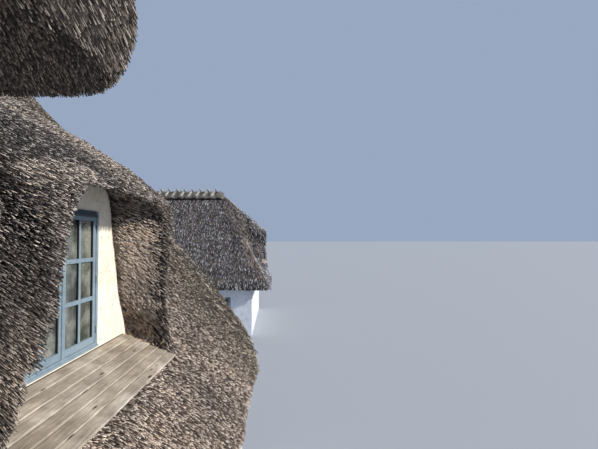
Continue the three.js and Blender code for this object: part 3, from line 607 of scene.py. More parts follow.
def lay_reeds(
    name, coats, density, flow, material, radius, length,
    flat=1.0, lift=(0.10, 0.32), wild=0.10, sunk=0.5, mix=(0.9, 1.2),
):
    found = [spots(coat, density) for coat in coats]
    places = np.concatenate([f[0] for f in found])
    normals = np.concatenate([f[1] for f in found])
    count = len(places)
    lying = flow(places, normals)
    rise = chance.uniform(*lift, (count, 1)) - np.sum(lying * normals, axis=1, keepdims=True)
    ahead = unit(lying + normals * np.maximum(rise, 0) + chance.normal(0, wild, (count, 3)))
    across = unit(np.cross(ahead, normals) + 1e-6)
    above = np.cross(across, ahead)
    long = chance.uniform(*length, (count, 1))
    wide = chance.uniform(*radius, (count, 1))
    roots = places - ahead * long * sunk
    points, corner_count = REED_POINTS, REED_FACES.size
    corners = (roots[:, None] + across[:, None] * (wide[:, None] * points[None, :, :1])
               + above[:, None] * (wide[:, None] * flat * points[None, :, 1:2])
               + ahead[:, None] * (long[:, None] * points[None, :, 2:])) + shift
    mesh = bpy.data.meshes.new(name)
    mesh.vertices.add(count * len(points))
    mesh.vertices.foreach_set("co", corners.ravel())
    mesh.loops.add(count * corner_count)
    loops = np.arange(count)[:, None] * len(points) + REED_FACES.ravel()[None]
    mesh.loops.foreach_set("vertex_index", loops.ravel())
    mesh.polygons.add(count * len(REED_FACES))
    mesh.polygons.foreach_set("loop_start", np.arange(0, count * corner_count, 3))
    mesh.update(calc_edges=True)
    tone = np.repeat(chance.beta(*mix, count), len(points))
    mesh.attributes.new("reed_tone", "FLOAT", "POINT").data.foreach_set("value", tone)
    reach = np.tile(points[:, 2], count)
    mesh.attributes.new("reed_reach", "FLOAT", "POINT").data.foreach_set("value", reach)
    mesh.materials.append(material)
    reeds = bpy.data.objects.new(name, mesh)
    bpy.context.scene.collection.objects.link(reeds)
    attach(reeds, "root")
    print(name, count, "reeds,", count * len(REED_FACES), "triangles")


# %% [markdown]
# The laying direction is down the slope. On a swept dormer the coat is laid flatter at the crown
# than on the roof round it, and it steepens again towards the foot of the cheeks.

# %% Laying directions
eye = np.array(EYE)


def along_roof(degrees, turn=(0.0, -1.0)):
    angle = np.radians(degrees)
    out = np.cos(angle)
    return np.stack([out * turn[0], out * turn[1], -np.sin(angle)], axis=-1)


def front_flow(places, normals):
    _, y, z = places.T
    proud = np.clip((z - roof_height(y)) / 0.5, 0, 1)
    dormer = 25.0 + 24.0 * np.clip((5.1 - z) / 1.6, 0, 1)
    return along_roof(PITCH + proud * (dormer - PITCH))


def back_flow(places, normals):
    return along_roof(np.full(len(places), PITCH), (0.0, 1.0))


def wing_flow(places, normals):
    sideways, inward = normals[:, 0], normals[:, 1]
    long_side = abs(sideways) > abs(inward)
    steep = np.radians(np.where(long_side, PITCH, HIP_PITCH))
    out_x, out_y = np.where(long_side, np.sign(sideways), 0), np.where(long_side, 0, np.sign(inward))
    return np.column_stack([out_x * np.cos(steep), out_y * np.cos(steep), -np.sin(steep)])


def hood_flow(places, normals):
    out = unit(places[:, :2] - np.array([0.0, -0.1]))
    return np.column_stack([out * math.cos(SLOPE), np.full(len(places), -math.sin(SLOPE))])


def facing(places, normals):
    back = eye - places
    away = np.linalg.norm(back, axis=1)
    right, down = (
        VANISHING[i] - FOCAL * (places[:, i + 1] - eye[i + 1]) / np.maximum(places[:, 0], 0.05) for i in (0, 1))
    framed = (places[:, 0] > 0.2) & (right > -25) & (down > -25) & (down < 475)
    return away, framed & (np.sum(unit(back) * normals, axis=1) > -0.15)


print("the slope falls at", round(math.degrees(SLOPE), 1), "degrees")

# %% [markdown]
# The dormer beside the camera and the slope round it get single reeds, fewer the further away they
# are, because at 9 m one stem is finer than a pixel. The hood overhead is closest of all. Each zone
# has its own finish: dark on the crown, as painted shade under its overhang; combed reed in the
# sheltered reveal, painted pale pink as sunlight below the lip's shadow; bleached ends low on the
# slope and weathered ones at the verge. A zone fades into the next by its density.

# %% Reeds round the near dormer
def is_dormer(places):
    x, y, z = places.T
    return within(x, 1.0, 7.2) & (z > roof_height(y) + 0.06) & (z > 2.9)


def off_the_deck(places):
    x, y, z = places.T
    return (abs(x - MAIN_DORMERS[1]) > 1.46) | (y < 0.46) | (y > 1.03) | (z > 3.37 + 0.415 * (y - 0.43))


def near_cheek(places, normals):
    away, seen = facing(places, normals)
    wanted = np.minimum(15500, 14000 * (3.0 / away) ** 2)
    shown = seen & is_dormer(places) & (places[:, 0] < MAIN_DORMERS[1]) & off_the_deck(places)
    return np.where(shown, wanted, 0)


# The crown's reeds are dark, as painted shade under its overhang.
def crown(places, normals):
    return near_cheek(places, normals) * ramp(places[:, 2], 4.7, 5.3)


def dark_cheek(places, normals):
    return near_cheek(places, normals) - crown(places, normals) - pale_cheek(places, normals)


def pale_cheek(places, normals):
    return near_cheek(places, normals) * ramp(places[:, 2], 4.7, 4.2)


def near_lip(places, normals):
    x, y, z = places.T
    rim = within(x, 2.2, 3.6) & (y < 0.62) & (normals[:, 0] > -0.75)
    return np.where(rim & is_dormer(places) & off_the_deck(places), 12000, 0) * ramp(z, 3.95, 4.3)


def lip_flow(places, normals):
    lying = front_flow(places, normals)
    lying[:, 0] += 0.22
    return unit(lying)


def in_reveal(places, normals):
    return (places[:, 0] > 4.7) & (places[:, 1] < 1.02) & (normals[:, 0] < -0.25)


def far_cheek(places, normals):
    away, seen = facing(places, normals)
    wanted = np.minimum(4000, 4000 * (4.6 / away) ** 2)
    shown = seen & is_dormer(places) & (places[:, 0] >= MAIN_DORMERS[1]) & off_the_deck(places)
    return np.where(shown & ~in_reveal(places, normals), wanted, 0)


def reveal_shown(places, normals):
    return is_dormer(places) & off_the_deck(places) & in_reveal(places, normals)


# Pale combed reeds thin out above z 4.7 to 4.95, under the lip's shadow: painted sunlight.
def combed(places, normals):
    _, y, z = places.T
    shown = reveal_shown(places, normals)
    return np.where(shown, 6000, 0) * ramp(y, 0.55, 0.85) * (0.25 + 0.75 * ramp(z, 4.95, 4.7))


# Above z 4.7 and away from the boards the reveal gets darker reed ends, as painted shade.
def far_reveal(places, normals):
    _, y, z = places.T
    shown = reveal_shown(places, normals)
    return np.where(shown, 5500, 0) * np.maximum(ramp(y, 0.85, 0.55), ramp(z, 4.7, 4.95))


def slope(distances, heights=None, along=None, most=4000):
    def density(places, normals):
        away, seen = facing(places, normals)
        wanted = np.minimum(4000, 4000 * (3.6 / away) ** 1.4)
        wanted = np.where(seen & ~is_dormer(places) & off_the_deck(places), wanted, 0)
        wanted = np.minimum(wanted, most) * ramp(away, *distances)
        if heights:
            wanted = wanted * ramp(places[:, 2], *heights)
        if along:
            wanted = wanted * ramp(places[:, 0], *along)
        return wanted
    return density


fine = {"radius": (0.0017, 0.0035), "length": (0.045, 0.12), "wild": 0.065, "mix": (0.8, 1.15)}
lay_reeds("near_crown_reed_ends", [main_front], crown, front_flow, ends_crown, **{**fine, "mix": (0.6, 1.1)})
lay_reeds("near_cheek_reed_ends", [main_front], dark_cheek, front_flow, ends_cheek, **fine)
lay_reeds("near_cheek_pale_ends", [main_front], pale_cheek, front_flow, ends_near, **fine)
lay_reeds("near_lip_reed_ends", [main_front], near_lip, lip_flow, ends_cheek,
          radius=(0.002, 0.004), length=(0.08, 0.15), lift=(0.05, 0.2), wild=0.06, sunk=0.35)
lay_reeds("far_cheek_reed_ends", [main_front], far_cheek, front_flow, ends_cheek,
          radius=(0.0022, 0.0042), length=(0.06, 0.14), lift=(0.16, 0.4), wild=0.06)
lay_reeds("combed_reveal_reeds", [main_front], combed, front_flow, sunlit_reveal_ends,
          radius=(0.0022, 0.0044), length=(0.09, 0.2), lift=(0.04, 0.12), wild=0.03)
lay_reeds("far_reveal_reed_ends", [main_front], far_reveal, front_flow, ends_cheek,
          radius=(0.0022, 0.0044), length=(0.06, 0.14), lift=(0.12, 0.3), wild=0.05)
slope_size = {"length": (0.045, 0.11), "lift": (0.12, 0.36), "wild": 0.08}
NEAR, FAR, MOST_FAR = (6.0, 4.6), (4.6, 6.0), 1700
BEFORE_VERGE, AT_VERGE = (7.8, 6.9), (6.9, 7.8)
near_size = {"radius": (0.003, 0.006), **slope_size}
far_size = {"radius": (0.004, 0.009), "flat": 0.6, "mix": (0.7, 0.95), **slope_size}
for name, density, finish, size in (
    ("near", slope(NEAR, (4.9, 4.3)), ends_slope, near_size),
    ("high", slope(NEAR, (4.3, 4.9)), ends_crown, near_size),
    ("far", slope(FAR, (3.2, 4.0), BEFORE_VERGE, MOST_FAR), ends_near, far_size),
    ("low", slope(FAR, (4.0, 3.2), BEFORE_VERGE, MOST_FAR), ends_slope, far_size),
    ("verge", slope(FAR, None, AT_VERGE, MOST_FAR), ends_verge, far_size),
):
    lay_reeds(name + "_slope_reed_ends", [main_front], density, front_flow, finish, **size)


HOOD_TOP = 5.9


def near_hood(places, normals):
    away, seen = facing(places, normals)
    wanted = np.minimum(36000, 30000 * (1.3 / away) ** 2)
    return np.where(seen & (places[:, 2] < HOOD_TOP) & (normals[:, 1] > -0.8), wanted, 0)


lay_reeds("hood_reed_ends", [hood], near_hood, hood_flow, ends_hood,
          radius=(0.0012, 0.0024), length=(0.03, 0.06), wild=0.06, sunk=0.68)


def hood_front(places, normals):
    x, _, z = places.T
    return np.where((x > 0.4) & (normals[:, 1] < -0.45) & (z < HOOD_TOP), 7500, 0)


lay_reeds("hood_front_reed_ends", [hood], hood_front, hood_flow, ends_near,
          radius=(0.0012, 0.0026), length=(0.03, 0.075), wild=0.07, sunk=0.62)

# %% [markdown]
# Further off the eye sees bundles, not stems. Flat tufts as wide as a hand's fingers break up the
# planes and the eaves of all roofs. Where the wing's slopes meet, the reed is rolled over the crease
# in a paler band, so tufts are laid along the line of that crease too.

# %% Tufts on all roofs
OVERHANGING, LOWEST_TUFT = -0.35, 2.1


def outside(places, normals, outer, under=0.0):
    return np.where(normals[:, 2] > OVERHANGING, outer, under) * (places[:, 2] > LOWEST_TUFT)


def tufted(places, normals):
    near = (np.linalg.norm(places - eye, axis=1) < 8.5) & (places[:, 0] > -0.8)
    return outside(places, normals, 34.0, 6.0) * ~near


def wing_tufted(places, normals):
    shown = (normals[:, 0] < 0) | (normals[:, 1] < -0.3)
    return outside(places, normals, np.where(shown, 150.0, 26.0))


def far_side(places, normals):
    return outside(places, normals, 26.0)


tuft_size = {
    "radius": (0.014, 0.03), "length": (0.16, 0.34), "flat": 0.35, "lift": (0.06, 0.16), "wild": 0.05,
}
wing_size = {
    **tuft_size, "radius": (0.016, 0.034), "length": (0.16, 0.36), "lift": (0.06, 0.18), "mix": (0.8, 0.9),
}
lay_reeds("main_front_tufts", [main_front, hood], tufted, front_flow, ends_near, **tuft_size)
lay_reeds("main_back_tufts", [main_back], far_side, back_flow, ends_near, **tuft_size)
lay_reeds("wing_tufts", [wing], wing_tufted, wing_flow, ends_wing, **wing_size)


def crease_of(places):
    x, y, z = places.T
    side = np.sign(x - WING_X)
    top, foot = np.array([0.25, 3.1, 7.12]), np.array([4.4, 0.1, 2.45])
    down = unit((foot - top)[None])[0]
    from_top = np.column_stack([abs(x - WING_X), y, z]) - top
    apart = np.linalg.norm(from_top - (from_top @ down)[:, None] * down, axis=1)
    return apart, np.column_stack([side * down[0], np.full(len(x), down[1]), np.full(len(x), down[2])])


def on_crease(places, normals):
    apart, _ = crease_of(places)
    return np.where((apart < 0.44) & (places[:, 1] < 3.3) & (places[:, 2] > 2.75), 260.0, 0.0)


def crease_flow(places, normals):
    return crease_of(places)[1]


lay_reeds("wing_hip_rolls", [wing], on_crease, crease_flow, ends_hip,
          radius=(0.010, 0.022), length=(0.25, 0.5), flat=0.5, lift=(0.03, 0.12), wild=0.04)
lay_reeds("link_tufts", [link_roof], far_side, front_flow, ends_near, **tuft_size)

# %% [markdown]
# ## The ridge
# Reed can't be bent over a ridge, so a cap of loose straw closes it. It bulges between pairs of
# crossed poles, the riders, whose weight holds it down. The cap is modelled from a circle that is
# set to the cap's section and extruded along the ridge. The riders are one pole, copied and turned.

# %% Straw and grey wood
def straw_cap_finish(name):
    material, tree, place = textured(name)
    straws = noise(tree, stretched(tree, place, (60.0, 60.0, 6.0)), 1.0, detail=3.0, roughness=0.7)
    patches = noise(tree, place, 2.2, detail=4.0)
    colour = colours_of(tree, straws, (0.32, "#2f2d2c"), (0.5, "#7f7b78"), (0.66, "#c4c1bd"))
    weather = colours_of(tree, patches, (0.35, "#a9a6a2"), (0.65, "#fffaf0"))
    finish_material(
        tree, Base_Color=multiply(tree, colour, weather), Roughness=0.9, Normal=bump(tree, straws, 0.8, 0.02))
    return material


def sawn_wood(name, dark, mid, light, along, ring=0.006, rough=0.75):
    material, tree, place = textured(name)
    scale = [1 / ring] * 3
    scale["XYZ".index(along)] = 0.025 / ring
    grain_place = stretched(tree, place, scale)
    grain = noise(tree, grain_place, 0.5, detail=6.0, roughness=0.62, distortion=0.4)
    stains = noise(tree, place, 3.5, detail=5.0, roughness=0.7)
    colour = colours_of(tree, grain, (0.3, dark), (0.5, mid), (0.68, light))
    stain = colours_of(tree, stains, (0.35, "#b0aaa2"), (0.62, "#ffffff"))
    finish_material(
        tree, Base_Color=multiply(tree, colour, stain), Roughness=rough, Normal=bump(tree, grain, 0.35, 0.004))
    return material


ridge_straw = straw_cap_finish("weathered_ridge_straw")
# Dark straw for the cap's undersides: painted shade under its overhanging edge.
ridge_shade = reed_coat("painted_shade_under_the_cap", (0.0, 0.0, 0.0), tone="#4a484a")
rider_wood = sawn_wood("weathered_split_oak", "#98948d", "#c6c2ba", "#f2efe9", "Z", ring=0.008)
print("ridge finishes:", ridge_straw.name, rider_wood.name)

# %% Model a cap along X, then turn it to its place
RISE = math.tan(SLOPE)


def above(side, thick):
    return thick * math.hypot(1, RISE) - RISE * side


SIDES = (
    (0.12, 0.128), (0.20, 0.135), (0.27, 0.135), (0.32, 0.12), (0.338, 0.09), (0.33, 0.04), (0.29, -0.02),
    (0.15, -0.06),
)
half_section = [(0.0, 0.165), (0.06, 0.15)] + [(side, above(side, thick)) for side, thick in SIDES]
RIDER_START, RIDER_STEP = 0.5, 0.455


def model_cap(name, length):
    section = half_section + [(0.0, -0.12)] + [(-s, z) for s, z in reversed(half_section[1:])]
    bpy.ops.object.select_all(action="DESELECT")
    bpy.ops.mesh.primitive_circle_add(vertices=len(section), radius=1.0, fill_type="NGON")
    cap = bpy.context.object
    cap.name = cap.data.name = name
    for vertex, (side, z) in zip(cap.data.vertices, section):
        vertex.co = (0.0, side, z)
    bpy.ops.object.mode_set(mode="EDIT")
    bpy.ops.mesh.select_all(action="SELECT")
    bpy.ops.mesh.extrude_region_move(TRANSFORM_OT_translate={"value": (length, 0, 0)})
    shape = bmesh.from_edit_mesh(cap.data)
    for edge in shape.edges:
        edge.select_set(abs(edge.verts[0].co.x - edge.verts[1].co.x) > length / 2)
    bpy.ops.mesh.subdivide(number_cuts=int(length / 0.095))
    bpy.ops.mesh.select_all(action="SELECT")
    bpy.ops.mesh.normals_make_consistent(inside=False)
    bpy.ops.object.mode_set(mode="OBJECT")
    return cap


def rider_places(length):
    between = length - 2 * RIDER_START
    count = max(1, round(between / RIDER_STEP))
    step = between / count
    return [RIDER_START + i * step for i in range(count + 1)], step


def bulge(cap, length):
    stops, step = rider_places(length)
    for vertex in cap.data.vertices:
        x, side, z = vertex.co
        if z > above(abs(side), 0.05):
            swell_here = 0.05 * abs(math.sin(math.pi * (x - stops[0]) / step)) - 0.012
            vertex.co.y += math.copysign(swell_here * 0.7, side) if abs(side) > 0.03 else 0
            vertex.co.z += swell_here
        ending = max(0.0, 1 - min(x, length - x) / 0.14) ** 2
        vertex.co.y *= 1 - 0.12 * ending
        vertex.co.z -= 0.07 * ending * (z > above(abs(side), 0.05))
    apply(cap, "DISPLACE", texture=tuft, strength=0.03, mid_level=0.5, texture_coords="LOCAL")
    bpy.ops.object.shade_smooth()


print("the cap's section has", 2 * len(half_section), "corners")

# %% [markdown]
# A rider is a split pole, flat in section, with its lower end cut square. It lies on one side of
# the cap and crosses its twin over the ridge, so the two upper ends stand up as short horns.

# %% Model the riders
def model_pole():
    bpy.ops.object.select_all(action="DESELECT")
    bpy.ops.mesh.primitive_cube_add(size=1.0, location=(0, 0, 0.15), scale=(0.125, 0.048, 0.62))
    pole = bpy.context.object
    bpy.ops.object.transform_apply(location=True, scale=True)
    bpy.ops.object.mode_set(mode="EDIT")
    shape = bmesh.from_edit_mesh(pole.data)
    for vertex in shape.verts:
        vertex.select_set(vertex.co.z < 0)
    shape.select_flush_mode()
    bpy.ops.transform.resize(value=(0.72, 0.8, 1.0), center_override=(0, 0, -0.16))
    bpy.ops.object.mode_set(mode="OBJECT")
    apply(pole, "BEVEL", width=0.009, segments=2)
    return pole


def model_riders(name, length):
    pole = model_pole()
    stops, _ = rider_places(length)
    copies = []
    for stop in stops:
        for hand in (-1, 1):
            copy = pole.copy()
            copy.data = pole.data.copy()
            bpy.context.scene.collection.objects.link(copy)
            lie = math.pi / 2 + SLOPE + chance.normal(0, 0.025)
            tilt = Matrix.Rotation(hand * 0.27 + chance.normal(0, 0.05), 4, "Y")
            turn = Matrix.Rotation(-hand * lie, 4, "X") @ tilt
            copy.data.transform(Matrix.Translation((stop + hand * 0.045, 0, above(0, 0.15))) @ turn)
            copies.append(copy)
    bpy.data.objects.remove(pole)
    riders = join(copies)
    riders.name = riders.data.name = name
    return riders


def ridge(name, node, length, place, turn):
    cap, riders = model_cap(name + "_straw_cap", length), model_riders(name + "_riders", length)
    bulge(cap, length)
    for thing, material, slot in ((cap, ridge_straw, "ridge_straw"), (riders, rider_wood, "ridge_straw")):
        thing.data.transform(Matrix.Translation(place) @ Matrix.Rotation(turn, 4, "Z"))
        thing.data.materials.append(material)
        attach(thing, "root")
    cap.data.materials.append(ridge_shade)
    # Faces of the cap that look down get the dark straw: painted shade under its edge.
    for face in cap.data.polygons:
        face.material_index = int(face.normal.z < -0.05)
    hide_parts(node)
    print(name, "cap of", round(length, 2), "m with", len(rider_places(length)[0]), "pairs of riders")
    return cap


MAIN_TOP, WING_TOP, LINK_TOP = 8.1461, 7.1601, 4.8219
main_cap = ridge("main_ridge", "main_ridge_cap", 16.9, at(-7.4, 4.9, MAIN_TOP), 0)
wing_cap = ridge("wing_ridge", "wing_ridge_cap", 7.2, at(WING_X, 3.03, WING_TOP), math.pi / 2)
link_cap = ridge("link_ridge", "link_ridge_cap", 13.4, at(9.55, 8.0, LINK_TOP), 0)

# %% [markdown]
# Loose straws hang over both sides of each cap. They are laid as the reeds were.

# %% Straws on the caps
straw_ends = reed_ends("loose_ridge_straw", "#2b2928", "#676461", "#9a9692", "#c3c0bb", "#ebe8e3")
STRAW_OUT, STRAW_DOWN = 0.68, 0.73


def over_x(places, normals):
    level = np.zeros(len(places))
    return np.column_stack([level, np.sign(normals[:, 1]) * STRAW_OUT, level - STRAW_DOWN])


def over_y(places, normals):
    level = np.zeros(len(places))
    return np.column_stack([np.sign(normals[:, 0]) * STRAW_OUT, level, level - STRAW_DOWN])


def cap_straws(places, normals):
    return np.where(normals[:, 2] > 0.1, 190.0, 0.0)


straws = {"radius": (0.005, 0.010), "length": (0.14, 0.34), "lift": (0.02, 0.09), "wild": 0.07, "sunk": 0.6}
for name, cap, flow in (("main", main_cap, over_x), ("wing", wing_cap, over_y), ("link", link_cap, over_x)):
    lay_reeds(name + "_ridge_straws", [cap], cap_straws, flow, straw_ends, **straws)

# %% [markdown]
# ## Paint, limewash and weathered boards
# The walls are brick under many coats of limewash, so they are soft white with a slow unevenness.
# The dormer boards are painted a warmer white, and doors and windows a grey blue. The sill decks
# were never painted: their larch has gone silver, with dark knots and each board in its own tone.
# Each board is darker at its back, under the lap of the board behind, and its lower edge is painted paler as a
# painted highlight.

# %% Paint and limewash
def paint(name, base, worn, rough, size, height=0.0015):
    material, tree, place = textured(name)
    patches = noise(tree, place, size, detail=6.0, roughness=0.65)
    slow = noise(tree, place, 1.1, detail=3.0)
    colour = colours_of(tree, mix_values(tree, 0.5, patches, slow), (0.38, worn), (0.56, base))
    finish_material(tree, Base_Color=colour, Roughness=rough, Normal=bump(tree, patches, 0.5, height))
    return material


def plain(name, colour, rough, metal=0.0):
    material, tree = new_material(name)
    finish_material(tree, Base_Color=linear(colour), Roughness=rough, Metallic=metal)
    return material


limewash = paint("limewash_on_brick", "#dce1e9", "#bfc8d4", rough=0.9, size=6.0, height=0.012)
board_paint = paint("warm_white_board_paint", "#ece4d4", "#d3c8b4", rough=0.6, size=9.0)
blue_paint = paint("grey_blue_linseed_paint", "#80919c", "#6b7d89", rough=0.42, size=18.0)
# A darker copy of the blue paint, for window heads: painted shade under the thatch.
head_shade_paint = paint("blue_paint_darkened_as_shade", "#3b4a54", "#2c3942", rough=0.5, size=18.0)
iron = plain("black_iron", "#22262b", 0.5, 0.7)
# Black for the glazing gaskets, which also serve as painted shade beside the bars.
gasket_black_as_shade = plain("black_glazing_gasket_and_shade", "#15181b", 0.6)
screw_zinc = plain("dull_zinc_screws", "#5d5b57", 0.5, 0.6)
screed = paint("cement_screed", "#aca79e", "#8f8a82", rough=0.85, size=4.0)
floor_wood = sawn_wood("pine_floor_boards", "#a17e55", "#c29c6b", "#d9b986", "X", ring=0.01, rough=0.5)
# The glass's mottled olive grey base colour is a painted reflection of a garden.
glass, tree, place = textured("window_glass")
painted_reflection = noise(tree, place, 4.5, detail=3.0)
painted_reflection_tint = colours_of(tree, painted_reflection, (0.38, "#565b53"), (0.5, "#8a8f84"), (0.64, "#babdb2"))
finish_material(tree, Base_Color=painted_reflection_tint, Roughness=0.03, Transmission_Weight=0.62, IOR=1.5)
print("paints:", limewash.name, board_paint.name, blue_paint.name)

# %% Weathered deck boards
def silver_boards(name):
    material, tree, place = textured(name)
    tones = attribute(tree, "board_tone")
    moved = add_node(tree, "ShaderNodeVectorMath", {0: place, 1: tones}, operation="ADD").outputs["Vector"]
    grain_place = stretched(tree, moved, (4.0, 110.0, 110.0))
    grain = noise(tree, grain_place, 1.0, detail=5.0, roughness=0.65, distortion=0.6)
    colour = colours_of(
        tree, grain, (0.30, "#928b84"), (0.46, "#c6c0b9"), (0.62, "#e4dfd9"), (0.8, "#f8f5f1"))
    knot_inputs = {"Vector": stretched(tree, moved, (2.1, 8.0, 8.0)), "Scale": 1.0}
    knots = add_node(tree, "ShaderNodeTexVoronoi", knot_inputs).outputs["Distance"]
    knot = colours_of(tree, knots, (0.05, "#4a4036"), (0.09, "#8d8172"), (0.13, "#ffffff"))
    stains = noise(tree, moved, 3.0, detail=4.0, roughness=0.6)
    stain = colours_of(tree, stains, (0.36, "#bdb7ae"), (0.5, "#dcd7cf"), (0.66, "#fbf8f3"))
    own = colours_of(tree, tones, (0.0, "#dcd7ce"), (1.0, "#ffffff"))
    # Darker at the back of each board, under the lap; paler at the lower edge, a painted highlight.
    lap_darkening_and_edge_highlight = colours_of(
        tree, attribute(tree, "board_lower"),
        (0.11, "#5c554e"), (0.17, "#e6e3de"), (0.93, "#ece9e5"), (0.96, "#ffffff"))
    colour = multiply(tree, colour, knot, stain, own, lap_darkening_and_edge_highlight)
    finish_material(tree, Base_Color=colour, Roughness=0.82, Normal=bump(tree, grain, 0.6, 0.004))
    return material


deck_wood = silver_boards("silvered_larch_boards")
print("deck boards:", deck_wood.name)

# %% [markdown]
# ## Joinery
# Every frame, sash, bar and board is a bar of wood with slightly rounded edges. One function adds
# such a bar from its three ranges and another joins a list of them into one piece. The drawing of a
# window stands on z = 0 and faces -Y, and its place in the wall turns it round afterwards.

# %% Bars of wood
def bar(x0, x1, y0, y1, z0, z1):
    bpy.ops.mesh.primitive_cube_add(
        size=1.0, location=((x0 + x1) / 2, (y0 + y1) / 2, (z0 + z1) / 2), scale=(x1 - x0, y1 - y0, z1 - z0),
    )
    return bpy.context.object


def pin(x, y, z, radius, long, axis="Y", sides=10):
    turn = {"X": (0, math.pi / 2, 0), "Y": (math.pi / 2, 0, 0), "Z": (0, 0, 0)}[axis]
    bpy.ops.mesh.primitive_cylinder_add(
        vertices=sides, radius=radius, depth=long, location=(x, y, z), rotation=turn,
    )
    return bpy.context.object


def joined(name, pieces, material, place, rounded=0.002):
    thing = join(pieces)
    bpy.ops.object.transform_apply(location=True, rotation=True, scale=True)
    thing.name = thing.data.name = name
    if rounded:
        apply(thing, "BEVEL", width=rounded, segments=1)
    thing.data.transform(place)
    thing.data.materials.append(material)
    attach(thing, "root")
    return thing


print("bars and pins are joined and turned to their place")

# %% [markdown]
# A window has a fixed frame and two sashes that meet in the middle. Narrow bars share each sash
# into panes. The outer faces step back by 6 mm from frame to sash and from sash to bar, and a gap of
# 3 mm runs round each sash. Black gaskets hold the glass and show as thin dark lines beside the
# upright bars, which also stand in for the bars' shaded sides as painted shade. A rounded strip covers
# the joint between the two sashes, and the head under its drip is painted a darker blue as painted shade.

# %% Windows and glazed doors
FRAME, SASH, BAR, GAP = 0.046, 0.054, 0.042, 0.003


def sash(x0, x1, z0, z1, columns, rows, kick=0.0):
    front, back, bar_back = 0.006, 0.066, 0.033
    left, right, low, high = x0 + SASH, x1 - SASH, z0 + SASH + 0.015 + kick, z1 - SASH
    wood = [
        bar(x0, left, front, back, z0, z1), bar(right, x1, front, back, z0, z1),
        bar(left, right, front, back, z0, low), bar(left, right, front, back, high, z1),
    ]
    middles = [left + (right - left) * i / columns for i in range(1, columns)]
    wood += [bar(x - BAR / 2, x + BAR / 2, front + 0.004, bar_back, low, high) for x in middles]
    for i in range(1, rows):
        z = low + (high - low) * i / rows
        wood.append(bar(left, right, front + 0.003, bar_back, z - BAR / 2, z + BAR / 2))
    # Black gasket strips beside the bars: real gaskets that also stand in for the bars' shaded sides, as
    # painted shade.
    gasket_shade_strips = [(x - BAR / 2 - 0.009, x + BAR / 2 + 0.009) for x in middles]
    gasket_shade_strips += [(left - 0.002, left + 0.009), (right - 0.009, right + 0.002)]
    gasket_shade_bars = [bar(start, end, 0.013, 0.031, low, high) for start, end in gasket_shade_strips]
    return wood, bar(left - 0.005, right + 0.005, 0.030, 0.034, low - 0.005, high + 0.005), gasket_shade_bars


def double_window(name, node, width, height, place, columns=2, rows=3, kick=0.0, sill=0.03):
    half, depth = width / 2 - 0.001, 0.088
    wood = [
        bar(-half, -half + FRAME, 0, depth, 0.001, height - 0.001),
        bar(half - FRAME, half, 0, depth, 0.001, height - 0.001),
        bar(-half + FRAME, half - FRAME, 0, depth, 0.001, FRAME),
        bar(-0.016, 0.016, -0.004, 0.02, FRAME + GAP, height - FRAME - GAP),
        bar(-half, half, -sill, 0.01, 0.002, 0.024),
    ]
    # The head is painted darker: painted shade under the thatch above it.
    head = [
        bar(-half + FRAME, half - FRAME, 0, depth, height - FRAME, height - 0.001),
        bar(-half + FRAME, half - FRAME, -0.018, 0.03, height - FRAME - 0.02, height - FRAME + 0.004),
    ]
    panes, gasket_shade_bars = [], []
    for side in (-1, 1):
        x0, x1 = sorted((side * GAP / 2, side * (half - FRAME - GAP)))
        more, pane, gasket_shade_strips = sash(x0, x1, FRAME + GAP, height - FRAME - GAP, columns, rows, kick)
        wood += more
        gasket_shade_bars += gasket_shade_strips
        panes.append(pane)
        for share in (0.13, 0.5, 0.87):
            wood.append(pin(side * (half - FRAME), -0.004, height * share, 0.007, 0.07, "Z"))
    frame_piece = joined(name + "_joinery", wood, blue_paint, place)
    joined(name + "_head", head, head_shade_paint, place)
    joined(name + "_panes", panes, glass, place, rounded=0)
    joined(name + "_gasket_shade_lines", gasket_shade_bars, gasket_black_as_shade, place, rounded=0)
    if kick:
        handle = [
            bar(0.02, 0.055, -0.004, 0.006, 0.93, 1.13), pin(0.0375, -0.02, 1.05, 0.008, 0.04),
            bar(0.03, 0.14, -0.048, -0.036, 1.042, 1.058),
        ]
        joined(name + "_handle", handle, iron, place, rounded=0.002)
    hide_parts(node)
    return frame_piece


def in_wall(node):
    low, high = (np.array(corner[:]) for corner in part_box(node))
    middle, size = (low + high) / 2, high - low
    along_x = size[0] > size[1]
    outward = {"front": (0, -1), "back": (0, 1), "west": (-1, 0), "east": (1, 0)}[node_wall(node)]
    turn = math.atan2(outward[1], outward[0]) + math.pi / 2
    face = middle[:2] + np.array(outward) * (size[1] if along_x else size[0]) / 2
    return Matrix.Translation((face[0], face[1], low[2])) @ Matrix.Rotation(turn, 4, "Z")


def node_wall(node):
    if node == "garden_door":
        return "east"
    return next((word for word in node.split("_") if word in ("back", "west", "east")), "front")


low_windows = [name for name in cad_nodes if "window" in name and not name.endswith(("_frame", "_glass"))]
for name in low_windows:
    double_window(name, name, 1.2, 1.1, in_wall(name), columns=1)
door_place = in_wall("garden_door")
double_window("garden_door", "garden_door", 1.6, 2.05, door_place, columns=1, kick=0.35, sill=0.02)
DORMER_WINDOW, SILL = {"width": 1.4, "height": 1.42}, 3.6
bare_windows = {
    "main_west_dormer": (MAIN_DORMERS[0], 1.0), "main_east_dormer": (MAIN_DORMERS[1], 1.0),
    "wing_dormer": (WING_X, 1.23), "front_bay": (0.0, 0.04),
}
for name, (x, y) in bare_windows.items():
    place = Matrix.Translation(at(x, y, SILL))
    piece = double_window(name + "_window", name + "_window_frame", place=place, sill=0.012, **DORMER_WINDOW)
    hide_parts(name + "_window_glass")
print("windows:", len(low_windows) + len(bare_windows), "and a glazed door")

# %% [markdown]
# The front door has seven upright boards with narrow joints, in a frame of its own. Two strap hinges
# and a lever of black iron stand a little proud of it.

